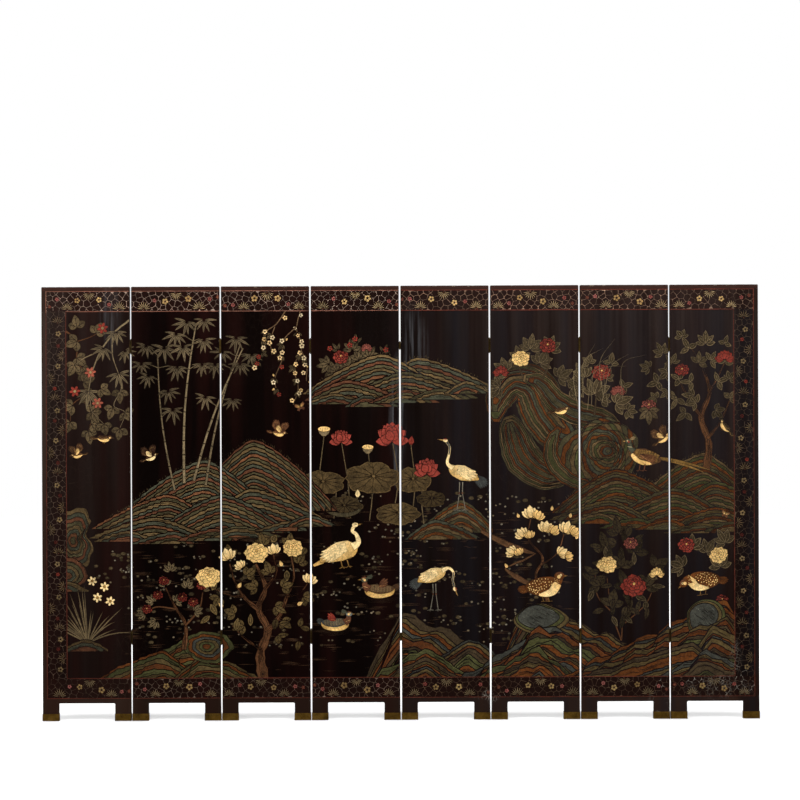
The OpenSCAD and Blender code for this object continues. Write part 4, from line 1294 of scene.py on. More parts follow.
def water_birds(art):
    r = seeded(15)
    egret(art.at(1260, 705, 1.5, 8), r, 0)
    duck(art.at(1420, 540, 1.42, 0, True), r)
    duck(art.at(1235, 400, 1.3), r, PAL["slate"], PAL["red"], PAL["slate_l"])
    crane(art.at(1780, 1030, 1.6, 0, True), r, look=1)
    crane(art.at(1640, 600, 1.5), r, bow=1)


def peonies_high(art):
    p, r = art.at(0, 0), seeded(16)
    for x, z, a in ((1960, 1470, 150), (2020, 1520, 110), (2100, 1500, 60), (1930, 1400, 190), (2180, 1440, 30), (2060, 1560, 80), (2230, 1390, 10), (2140, 1560, 70)):
        spray(p, x, z, 5, 66, 30, a, 74, shade(PAL["leaf"], r.uniform(0.35, 0.65)), r, 2, rim=shade(PAL["leaf_l"], r.uniform(0.6, 0.9)))
    stem(p, [[2030, 1440], [2010, 1500], [2020, 1580]], [6, 5, 4], PAL["leaf_d"])
    stem(p, [[2110, 1430], [2140, 1500], [2130, 1560]], [6, 5, 4], PAL["leaf_d"])
    peony(p, 2020, 1520, 40, PAL["cream"], r)
    peony(p, 2134, 1574, 38, shade(PAL["red"], 0.88), r)
    peony_side(p, 1936, 1462, 36, shade(PAL["red"], 0.88), r)
    spray(p, 2330, 1370, 5, 80, 36, 70, 80, shade(PAL["leaf"], 0.6), r, 2, rim=PAL["leaf_l"])
    spray(p, 2420, 1330, 5, 74, 34, 20, 70, shade(PAL["leaf"], 0.6), r, 2, rim=PAL["leaf_l"])
    spray(p, 2290, 1440, 5, 70, 32, 120, 60, shade(PAL["leaf"], 0.6), r, 2, rim=PAL["leaf_l"])
    for x, z, a in ((2380, 1440, 60), (2450, 1400, 20), (2310, 1500, 110), (2400, 1500, 80), (2260, 1400, 150), (2360, 1340, 40), (2470, 1300, -10)):
        spray(p, x, z, int(r.integers(3, 6)), r.uniform(42, 60), 22, a, 80, shade(PAL["leaf"], r.uniform(0.25, 0.5)), r, 0, rim=shade(PAL["leaf_l"], r.uniform(0.5, 0.85)))
    stem(p, [[2330, 1280], [2340, 1370], [2360, 1450]], [7, 5, 4], PAL["leaf_d"])
    peony(p, 2362, 1462, 44, shade(PAL["red"], 0.88), r)
    peony_side(p, 2430, 1380, 34, PAL["rose"], r)
    for k in range(9):
        q = r.uniform(0, 1)
        x, z = 2260 + 200 * q, 1300 + 60 * r.uniform(0, 1)
        p.line(cr([[x, z], [x + r.uniform(-30, 40), z + 150], [x + r.uniform(30, 130), z + r.uniform(160, 260)]], 5, False), [2.6, 2, 0.5], shade(PAL["khaki"], r.uniform(0.6, 0.9)))
    songbird(art.at(2190, 1300, 1.5), r)


def right_tree(art):
    """A tree on leaf 8 with hanging sprays and red flowers."""
    p, r = art.at(0, 0), seeded(17)
    trunk(p, [[2800, 1050], [2812, 1160], [2780, 1270], [2816, 1370], [2800, 1450]], [34, 26, 22, 15, 9], r, shade(PAL["bark"], 0.8), knots=2)
    for path, w in (
        ([[2806, 1180], [2860, 1250], [2900, 1340]], [14, 9, 4]),
        ([[2784, 1270], [2730, 1340], [2690, 1420], [2640, 1450]], [13, 9, 6, 4]),
        ([[2812, 1370], [2850, 1440], [2880, 1500]], [9, 6, 4]),
        ([[2800, 1440], [2770, 1520], [2730, 1570]], [8, 6, 4]),
    ):
        trunk(p, path, w, r, shade(PAL["bark"], 0.8), knots=0)
    for x, z, a in ((2690, 1430, 150), (2640, 1460, 190), (2730, 1560, 120), (2770, 1500, 60), (2880, 1500, 80), (2850, 1420, 20), (2900, 1350, 50), (2750, 1360, 200), (2680, 1350, 240), (2800, 1580, 90), (2600, 1420, 200), (2840, 1300, -20), (2716, 1290, 220)):
        spray(p, x, z, int(r.integers(3, 6)), r.uniform(46, 62), 23, a, 78, shade(PAL["leaf"], r.uniform(0.28, 0.55)), r, 2, rim=shade(PAL["leaf_l"], r.uniform(0.5, 0.85)))
    for x, z, a in ((2560, 1480, 160), (2620, 1540, 120), (2700, 1610, 100), (2820, 1510, 30), (2900, 1430, 60), (2740, 1420, 180), (2660, 1500, 100), (2760, 1330, 160), (2640, 1380, 250), (2880, 1580, 70), (2590, 1350, 160)):
        spray(p, x, z, int(r.integers(3, 6)), r.uniform(40, 56), 20, a, 80, shade(PAL["leaf"], r.uniform(0.25, 0.5)), r, 0, rim=shade(PAL["leaf_l"], r.uniform(0.5, 0.85)))
    peony_side(p, 2880, 1520, 44, shade(PAL["red"], 0.88), r)
    peony(p, 2700, 1470, 32, shade(PAL["red"], 0.88), r)
    peony(p, 2560, 1320, 34, PAL["rose"], r)
    spray(p, 2560, 1300, 5, 60, 26, -90, 90, PAL["leaf"], r, 2)
    songbird(art.at(2880, 1230, 1.5, -40, True), r, PAL["leaf_d"])
    songbird(art.at(2620, 1180, 1.4, 25), r, PAL["brown"], spread=True)


def pheasants(art):
    r = seeded(18)
    pheasant(art.at(2540, 1100, 1.5, 0, True), r)
    quail(art.at(2120, 560, 2.0), r)
    quail(art.at(2780, 582, 1.9, 8, True), r, pose=1)


def lower_right(art):
    p, r = art.at(0, 0), seeded(19)
    # a peony bush on leaf 7: dark leaves, singly and in threes, all about its stems
    for path in ([[2440, 330], [2450, 430], [2490, 520]], [[2440, 330], [2400, 450], [2380, 600]], [[2450, 400], [2540, 480], [2580, 560]], [[2400, 450], [2340, 520], [2330, 620]]):
        stem(p, path, [5, 4, 3], PAL["bark"])
    for x, z, a in ((2400, 480, 80), (2460, 560, 110), (2350, 560, 140), (2440, 640, 90), (2540, 560, 50), (2380, 720, 110), (2500, 700, 70), (2580, 640, 30), (2430, 780, 100)):
        spray(p, x, z, 3, 74, 36, a, 62, shade(PAL["leaf"], r.uniform(0.22, 0.4)), r, 3)
    for _ in range(46):
        a, q = r.uniform(0, 360), r.uniform(60, 190)
        x, z = 2455 + 0.8 * q * math.cos(math.radians(a)), 590 + 1.0 * q * math.sin(math.radians(a))
        leaf(p, x, z, r.uniform(38, 60), r.uniform(18, 27), a + r.uniform(-60, 60), shade(PAL["leaf"], r.uniform(0.2, 0.44)), veins=2, rim=shade(PAL["leaf_l"], 0.6) if r.random() < 0.35 else None)
    peony(p, 2494, 560, 58, PAL["red"], r)
    peony(p, 2380, 650, 44, PAL["cream"], r)
    peony_side(p, 2590, 610, 34, PAL["cream"], r)
    peony(p, 2480, 740, 32, PAL["rose"], r)
    # flowers on leaf 8
    for x, z, a in ((2860, 640, 100), (2800, 700, 60), (2880, 740, 120), (2740, 720, 90), (2700, 640, 160)):
        spray(p, x, z, 5, 66, 28, a, 76, shade(PAL["leaf"], r.uniform(0.38, 0.6)), r, 2, rim=shade(PAL["leaf_l"], r.uniform(0.7, 0.95)))
    peony(p, 2852, 690, 42, PAL["cream"], r)
    peony(p, 2716, 730, 38, PAL["red"], r)
    peony(p, 2866, 500, 27, PAL["red"], r)
    # a magnolia sprig on leaf 6
    trunk(p, [[2130, 500], [2080, 600], [2110, 680], [2050, 760], [2060, 850]], [14, 10, 8, 6, 4], r, knots=0)
    trunk(p, [[2100, 650], [2170, 700], [2200, 780]], [8, 6, 4], r, knots=0)
    for x, z, q, a in ((2060, 850, 50, 95), (2030, 770, 44, 130), (2120, 790, 50, 80), (2204, 786, 52, 70), (2180, 690, 42, 40), (1990, 700, 40, 150)):
        magnolia(p, x, z, q, PAL["ivory"], r, a, 1.0)
        magnolia(p, x + 26, z - 6, q * 0.8, PAL["cream"], r, a - 30, 0.9)
    for x, z, a in ((2250, 760, 60), (2010, 850, 110), (2150, 880, 90), (1960, 640, 120), (2226, 850, 80)):
        bud(p, x, z, 16, PAL["cream"], a)


def small_birds(art):
    r = seeded(20)
    songbird(art.at(1000, 1210, 1.35, -18), r, PAL["rust"], spread=True)
    songbird(art.at(460, 1110, 1.3, 12), r, PAL["brown_d"], PAL["ivory"], spread=True)
    butterfly(art.at(1130 - 40, 1320, 1.5, 20), PAL["butter"], PAL["brick"])
    butterfly(art.at(2940 - 60, 860, 1.2, -20), PAL["cream"], PAL["rust"])


def compose():
    art = Art()
    pond(art)
    far_bank(art)
    left_rock(art)
    mid_banks(art)
    bamboo_grove(art)
    hanging_spray(art)
    vine(art)
    bamboo_left(art)
    left_foreground(art)
    iris(art)
    rose_bush(art)
    magnolia_tree(art)
    islet(art)
    swirl_rock(art)
    peonies_high(art)
    right_banks(art)
    right_tree(art)
    lower_right(art)
    near_rocks(art)
    Pen.bold = 1.0
    pheasants(art)
    water_birds(art)
    small_birds(art)
    Pen.bold = BOLD
    return art.items


# ---------------------------------------------------------------------------------------------------------------------
# The border: cracked ice with blossoms and pine sprigs between two red lines
# ---------------------------------------------------------------------------------------------------------------------
def ice_cells(rng, x0, x1, z0, z1, pitch, gap):
    """Irregular cells that fill a rectangle, each drawn in by half the gap: the net is what is left between them."""
    nx, nz = max(2, round((x1 - x0) / (pitch * 1.14))), max(2, round((z1 - z0) / (pitch * 0.9)))
    pts = []
    for j in range(-1, nz + 1):
        for i in range(-1, nx + 1):
            px = x0 + (x1 - x0) * (i + 0.5 + (0.5 if j % 2 else 0.0)) / nx + rng.uniform(-0.3, 0.3) * pitch
            pz = z0 + (z1 - z0) * (j + 0.5) / nz + rng.uniform(-0.3, 0.3) * pitch
            pts.append((px, pz))
    P = np.array(pts)
    cells = []
    for k, p in enumerate(P):
        if not (x0 - 0.4 * pitch < p[0] < x1 + 0.4 * pitch and z0 - 0.4 * pitch < p[1] < z1 + 0.4 * pitch):
            continue
        poly = np.array([[x0, z0], [x1, z0], [x1, z1], [x0, z1]], float)
        d = P - p
        near = np.argsort((d**2).sum(1))[1:15]
        for m in near:
            n = P[m] - p
            L = np.linalg.norm(n)
            n = n / L
            lim = L / 2 - gap / 2
            s = (poly - p) @ n - lim
            out = []
            for a in range(len(poly)):
                b = (a + 1) % len(poly)
                if s[a] <= 0:
                    out.append(poly[a])
                if (s[a] < 0) != (s[b] < 0):
                    t = s[a] / (s[a] - s[b])
                    out.append(poly[a] + (poly[b] - poly[a]) * t)
            poly = np.array(out)
            if len(poly) < 3:
                break
        if len(poly) >= 3 and area(poly) > 14:
            # soften the corners
            q = []
            for a in range(len(poly)):
                u, v, w_ = poly[a - 1], poly[a], poly[(a + 1) % len(poly)]
                for e in (u, w_):
                    dd = e - v
                    L = np.linalg.norm(dd)
                    q.append(v + dd / max(L, 1e-6) * min(1.5, 0.3 * L))
            cells.append(np.array(q))
    return cells


def band(art, x0, x1, z0, z1, rng, net=None, pitch=25.5, gap=1.15, bare=None):
    """The net is painted over the whole band, and the lacquer cells stand on it."""
    net = PAL["net"] if net is None else net
    art.add([[x0, z0], [x1, z0], [x1, z1], [x0, z1]], PAL["ground"], 0)
    art.add([[x0 + 1.2, z0 + 1.2], [x1 - 1.2, z0 + 1.2], [x1 - 1.2, z1 - 1.2], [x0 + 1.2, z1 - 1.2]], net, 1)
    # the net has kept its colour unevenly
    for _ in range(int((x1 - x0) * (z1 - z0) / 1500)):
        px, pz = rng.uniform(x0 + 8, x1 - 8), rng.uniform(z0 + 6, z1 - 6)
        a = np.linspace(0, 2 * math.pi, 8)[:-1] + rng.uniform(0, 1)
        r_ = rng.uniform(10, 30, 7)
        P = np.stack([np.clip(px + r_ * np.cos(a), x0 + 1.2, x1 - 1.2), np.clip(pz + r_ * np.sin(a), z0 + 1.2, z1 - 1.2)], 1)
        if area(P) > 30:
            art.add(P, mix(PAL["ground"], net, rng.uniform(0.35, 0.8)) if rng.random() < 0.6 else shade(net, rng.uniform(1.1, 1.55)), 1)
    for px, pz, rx, rz in bare or ():
        # bare white ground, where the colour has flaked off the net
        for _ in range(int(rx * rz / 60)):
            q, w_ = rng.uniform(-1, 1), rng.uniform(-1, 1)
            cx, cz = px + rx * q, pz + rz * w_
            a = np.linspace(0, 2 * math.pi, 7)[:-1] + rng.uniform(0, 1)
            r_ = rng.uniform(3, 11, 6)
            P = np.stack([np.clip(cx + r_ * np.cos(a), x0 + 1.2, x1 - 1.2), np.clip(cz + r_ * np.sin(a), z0 + 1.2, z1 - 1.2)], 1)
            if area(P) > 14:
                art.add(P, lin("#b9b1a5") * rng.uniform(0.5, 1.0), 1)
    for c in ice_cells(rng, x0, x1, z0, z1, pitch, gap):
        art.add(c, PAL["ground"], 0)


def sprig(pen, x, y, r, up, rng, dim=1.0):
    c = shade(mix(lin("#dfc593"), PAL["khaki"], rng.uniform(0.0, 0.4)), dim)
    a = np.linspace(-0.1, math.pi + 0.1, 12) * (1 if up else -1)
    pen.poly(np.vstack([[[x, y]], np.stack([x + r * 0.92 * np.cos(a), y + r * 0.92 * np.sin(a)], 1)]), PAL["ink"], 0)
    pine_fan(pen, x, y, r, 9, 90 if up else -90, 80, c, 2.1, 2)
    pen.dot(x, y, 2.6, PAL["brick"], 0.5, 6)


def row_marks(rng, n):
    """The order of marks along one leaf's band: fans stand and hang in turn, blossoms between them."""
    return [("fan", 0.12), ("red", 0.24), ("gold", 0.36), ("fan_down", 0.48), ("gold", 0.62), ("fan", 0.74), ("red", 0.86), ("small", 0.95)]


def cross_band(art, x0, x1, z0, z1, seed, flip=False, bare=None):
    rng = np.random.default_rng(seed)
    # the lower band is painted darker than the upper one, its marks dimmer and its net nearer the dark net colour:
    # painted shade, as of light falling from above
    dim = 1.0 if z0 > 900 else 0.62
    net = mix(PAL["net"], PAL["net_d"], rng.uniform(0.0, 0.25) if z0 > 900 else rng.uniform(0.45, 0.8))
    net = net * np.array([1.0, 1.0, 1.0] if seed % 100 < 5 else [1.06, 0.92, 0.8])
    net = shade(net, ((1.65, 1.45, 1.2, 1.45, 1.1, 1.15, 1.05, 0.75) if z0 > 900 else (0.75, 1.05, 1.1, 1.3, 0.95, 0.85, 0.7, 0.9))[seed % 100 - 1])
    band(art, x0, x1, z0, z1, rng, net=net, gap=1.15 if z0 > 900 else 1.1, bare=bare)
    pen = art.at(0, 0)
    w, mid = x1 - x0, (z0 + z1) / 2
    off = rng.uniform(-0.04, 0.04)
    for kind, q in row_marks(rng, 8):
        q = (1 - q if flip else q) + off
        x = x0 + w * q
        if kind == "fan":
            sprig(pen, x, z0 + 7, 31 + rng.uniform(-3, 3), True, rng, dim)
        elif kind == "fan_down":
            sprig(pen, x, z1 - 7, 31 + rng.uniform(-3, 3), False, rng, dim)
        elif kind == "gold":
            c = shade(mix(lin("#b08c58"), lin("#e0bd7c"), rng.uniform(0, 0.9)), dim)
            y = mid + rng.uniform(-11, 11)
            pen.dot(x, y, 17.5, PAL["ink"], 0, 11, kind=0)
            blossom(pen, x, y, rng.uniform(12, 15), c, rng.uniform(0, 72), 5, heart=PAL["brick"] if rng.random() < 0.5 else None, kind=2)
        elif kind == "red":
            blossom(pen, x, mid + rng.uniform(-18, 18), 8.5, shade(mix(PAL["red"], lin("#c98078"), rng.uniform(0.25, 0.75)), 0.6 + 0.4 * dim), rng.uniform(0, 72), 5, heart=PAL["coral"])
        else:
            blossom(pen, x, mid + rng.uniform(-22, 22), 7.5, shade(PAL["rose"], 0.6 + 0.4 * dim), rng.uniform(0, 72), 5, heart=PAL["butter"])


def side_band(art, x0, x1, z0, z1, seed, bare=None):
    """Down the outer edges the net is faint, and the marks stand one above another."""
    rng = np.random.default_rng(seed)
    band(art, x0, x1, z0, z1, rng, net=mix(PAL["net_d"], PAL["net"], 0.22 if seed == 301 else 0.1), pitch=25.0, gap=1.15, bare=bare)
    pen = art.at(0, 0)
    z, k = z0 + 40.0, 0
    marks = ["gold", "fan_in", "red", "gold", "fan_up", "red", "fan_out"]
    while z < z1 - 26:
        x = (x0 + x1) / 2 + rng.uniform(-16, 16)
        m = marks[k % len(marks)]
        if m == "gold":
            blossom(pen, x, z, 12, shade(mix(PAL["gold"], PAL["leaf_l"], rng.uniform(0.1, 0.7)), 0.95), rng.uniform(0, 72), 5, kind=2)
        elif m == "red":
            blossom(pen, x, z, 8, PAL["red_d"] if rng.random() < 0.5 else PAL["red"], rng.uniform(0, 72), 5, heart=PAL["rose"])
        else:
            a, xx = {"fan_in": (180, x1 - 8), "fan_out": (0, x0 + 8), "fan_up": (90, x)}[m]
            pine_fan(pen, xx, z, 30, 7, a, 74, shade(mix(PAL["gold"], PAL["leaf_l"], rng.uniform(0.2, 0.7)), 1.0), 2.1)
            pen.dot(xx, z, 2.2, PAL["brick"], 0.5, 6)
        z += rng.uniform(40, 52)
        k += 1


def frame_art(n):
    """Margins, red lines and bands of leaf n. They go over the field, so nothing in the field needs trimming."""
    art = Art()
    a, b = left_x(n) - 2, left_x(n) + LEAF_W + 2
    G = PAL["margin"]
    art.add([[a, TOP_OUT], [b, TOP_OUT], [b, LEAF_H + 2], [a, LEAF_H + 2]], G, 0)
    art.add([[a, -2], [b, -2], [b, BOT_OUT], [a, BOT_OUT]], G, 0)
    # chips along the top and down the sides, through to the pale ground
    crng = np.random.default_rng(500 + n)
    for _ in range(15):
        c = lin("#948672") * crng.uniform(0.35, 1.1)
        if crng.random() < 0.6:
            q, w = (left_x(n) + crng.uniform(6, LEAF_W - 6), LEAF_H - SKIN_IN - crng.uniform(0.0, 1.6)), (crng.uniform(2, 8), crng.uniform(0.9, 2.0))
        else:
            q, w = (left_x(n) + (SKIN_IN if crng.random() < 0.5 else LEAF_W - SKIN_IN), crng.uniform(80, LEAF_H - 20)), (crng.uniform(0.7, 1.5), crng.uniform(2, 7))
        t = np.linspace(0, 2 * math.pi, 8)[:-1] + crng.uniform(0, 1)
        k = crng.uniform(0.6, 1.15, 7)
        art.add(np.stack([q[0] + w[0] * k * np.cos(t), q[1] + w[1] * k * np.sin(t)], 1), c, 1)
    lo, hi = a, b
    if n == 1:
        art.add([[a, BOT_OUT], [SIDE_OUT, BOT_OUT], [SIDE_OUT, TOP_OUT], [a, TOP_OUT]], G, 0)
        lo = SIDE_OUT
    if n == LEAVES:
        e = left_x(n) + LEAF_W - SIDE_OUT
        art.add([[e, BOT_OUT], [b, BOT_OUT], [b, TOP_OUT], [e, TOP_OUT]], G, 0)
        hi = e
    h = LINE_W / 2
    cross_band(art, lo, hi, TOP_IN + h, TOP_OUT - h, 100 + n, flip=bool(n % 2))
    foot = {5: [(1860, 102, 14, 6)], 6: [(1930, 104, 26, 7)], 7: [(2600, 150, 16, 26)], 8: [(2780, 150, 66, 26), (2890, 140, 60, 40), (2960, 150, 40, 26)]}
    cross_band(art, lo, hi, BOT_OUT + h, BOT_IN - h, 200 + n, flip=not n % 2, bare=foot.get(n))
    if n == 1:
        side_band(art, SIDE_OUT + h, SIDE_IN - h, BOT_IN - h, TOP_IN + h, 301)
    if n == LEAVES:
        e = left_x(n) + LEAF_W
        side_band(art, e - SIDE_IN + h, e - SIDE_OUT - h, BOT_IN - h, TOP_IN + h, 308, bare=[(2930, 205, 30, 26)])
    rng = np.random.default_rng(400 + n)
    pen = art.at(0, 0)

    def red(p, q):
        """A hand-drawn line: its width and colour change a little along it."""
        p, q = np.array(p, float), np.array(q, float)
        m = max(2, int(np.linalg.norm(q - p) / 45))
        t = np.linspace(0, 1, m + 1)
        P = p + np.outer(t, q - p) + rng.normal(0, 0.22, (m + 1, 2)) * (np.abs(q - p)[::-1] > 1)
        for i in range(m):
            # lines low on the leaf are painted darker than the top ones: painted shade, as of light falling from above
            c = mix(PAL["line"], PAL["ground"], rng.uniform(0.0, 0.28) + (0.0 if P[i, 1] > 1700 else 0.25))
            if n < 5 and P[i, 1] > 1700:
                c = mix(c, lin("#bf9078"), rng.uniform(0.25, 0.5))
            pen.line(P[i : i + 2], LINE_W * rng.uniform(0.85, 1.08), c, 3)

    left, right = (SIDE_OUT if n == 1 else a), (left_x(n) + LEAF_W - SIDE_OUT if n == LEAVES else b)
    li, ri = (SIDE_IN if n == 1 else a), (left_x(n) + LEAF_W - SIDE_IN if n == LEAVES else b)
    red([left - h * (n == 1), TOP_OUT], [right + h * (n == 8), TOP_OUT])
    red([left - h * (n == 1), BOT_OUT], [right + h * (n == 8), BOT_OUT])
    red([li, TOP_IN], [ri, TOP_IN])
    red([li, BOT_IN], [ri, BOT_IN])
    if n == 1:
        red([SIDE_OUT, BOT_OUT], [SIDE_OUT, TOP_OUT])
        red([SIDE_IN, BOT_IN], [SIDE_IN, TOP_IN])
    if n == LEAVES:
        e = left_x(n) + LEAF_W
        red([e - SIDE_OUT, BOT_OUT], [e - SIDE_OUT, TOP_OUT])
        red([e - SIDE_IN, BOT_IN], [e - SIDE_IN, TOP_IN])
    return art.items


def back_art(n):
    """The back of leaf n, seen from behind: plain lacquer, two red lines with a key at each corner, and one thin spray."""
    art = Art()
    rng = np.random.default_rng(900 + n)
    x0 = left_x(n)
    pen = art.at(x0, 0)
    for ins, w in ((20.0, 3.0), (29.0, 1.6)):
        q = [(ins, CUT_H + ins), (LEAF_W - ins, CUT_H + ins), (LEAF_W - ins, LEAF_H - ins), (ins, LEAF_H - ins)]
        for k in range(4):
            a, b = np.array(q[k], float), np.array(q[(k + 1) % 4], float)
            m = max(2, int(np.linalg.norm(b - a) / 60))
            for i in range(m):
                pen.line([a + (b - a) * i / m, a + (b - a) * (i + 1) / m], w * rng.uniform(0.8, 1.1), mix(PAL["line"], PAL["ground"], rng.uniform(0.1, 0.5)), 3)
    for sx in (0, 1):
        for sz in (0, 1):
            cx, cz = (41.0 if sx == 0 else LEAF_W - 41.0), (CUT_H + 41.0 if sz == 0 else LEAF_H - 41.0)
            dx, dz = (1 if sx == 0 else -1), (1 if sz == 0 else -1)
            key = [(0, 34), (0, 0), (34, 0), (34, 20), (14, 20), (14, 10), (24, 10)]
            pen.line([(cx + dx * u, cz + dz * v) for u, v in key], 1.8, mix(PAL["gold"], PAL["ground"], 0.45), 2)
    z = 980.0 + 120.0 * math.sin(n * 2.1)
    lean = -1 if n % 2 else 1
    c = shade(PAL["khaki"], 0.62)
    stem(pen, [[186 - 60 * lean, z - 260], [186 - 20 * lean, z - 60], [186 + 20 * lean, z + 120], [186 + 70 * lean, z + 250]], [6, 5, 4, 2.5], c)
    for k in range(7):
        q = k / 6
        x, y = 186 + lean * (-50 + 120 * q), z - 200 + 430 * q
        spray(pen, x, y, 3, 52, 20, 90 + lean * (-70 if k % 2 else 60) + rng.uniform(-15, 15), 34, shade(PAL["leaf"], rng.uniform(0.5, 0.75)), rng, 1)
    for k in range(4):
        x, y = 186 + lean * rng.uniform(-50, 80), z + rng.uniform(-120, 240)
        blossom(pen, x, y, rng.uniform(12, 16), mix(PAL["gold"], PAL["rose"], 0.7 * (k % 2)), rng.uniform(0, 72), 5, heart=PAL["brick"], kind=2)
    return art.items


# ---------------------------------------------------------------------------------------------------------------------
# The carved skin: one closed slab for each leaf, with every coloured cell really sunk into it
# ---------------------------------------------------------------------------------------------------------------------
SINK = 0.75  # how deep the cells are cut
SKIN_IN, SKIN_T = 1.6, 1.1  # how far the slab stays in from the leaf's edge, and its thickness


def arc(cx, cy, r, a0, a1, n=5):
    a = np.radians(np.linspace(a0, a1, n))
    return np.stack([cx + r * np.cos(a), cy + r * np.sin(a)], 1)


def outline(inset, step=12.0):
    """Leaf outline, from its own lower left corner, anticlockwise, drawn in by inset, with the cut-out at its foot."""
    W, H, i = LEAF_W, LEAF_H, inset
    r, c = max(TOP_R - i, 0.6), CUT_R + i
    L, R, C = LEG_W - i, W - LEG_W + i, CUT_H + i
    pts = [
        [[i, i], [L, i]],
        arc(L + c, C - c, c, 180, 90)[::1],
        arc(R - c, C - c, c, 90, 0),
        [[R, i], [W - i, i]],
        arc(W - i - r, H - i - r, r, 0, 90),
        arc(i + r, H - i - r, r, 90, 180),
    ]
    P = np.vstack([np.asarray(p, float) for p in pts])
    keep = [0]
    for k in range(1, len(P)):
        if np.linalg.norm(P[k] - P[keep[-1]]) > 1e-3:
            keep.append(k)
    P = P[keep]
    if step:
        out = []
        for k in range(len(P)):
            a, b = P[k], P[(k + 1) % len(P)]
            m = max(1, int(round(np.linalg.norm(b - a) / step)))
            out.extend(a + (b - a) * j / m for j in range(m))
        P = np.array(out)
    return P


def mesh_object(name, verts, faces, mats, mat_index=None, tint=None, smooth=False):
    me = bpy.data.meshes.new(name)
    me.from_pydata([tuple(v) for v in verts], [], faces)
    me.validate()
    for m in mats:
        me.materials.append(m)
    if mat_index is not None:
        me.polygons.foreach_set("material_index", np.asarray(mat_index, np.int32))
    if smooth:
        me.polygons.foreach_set("use_smooth", np.ones(len(me.polygons), bool))
    if tint is not None:
        att = me.color_attributes.new("tint", "FLOAT_COLOR", "CORNER")
        att.data.foreach_set("color", np.asarray(tint, np.float32).ravel())
    me.update()
    ob = bpy.data.objects.new(name, me)
    bpy.context.scene.collection.objects.link(ob)
    return ob


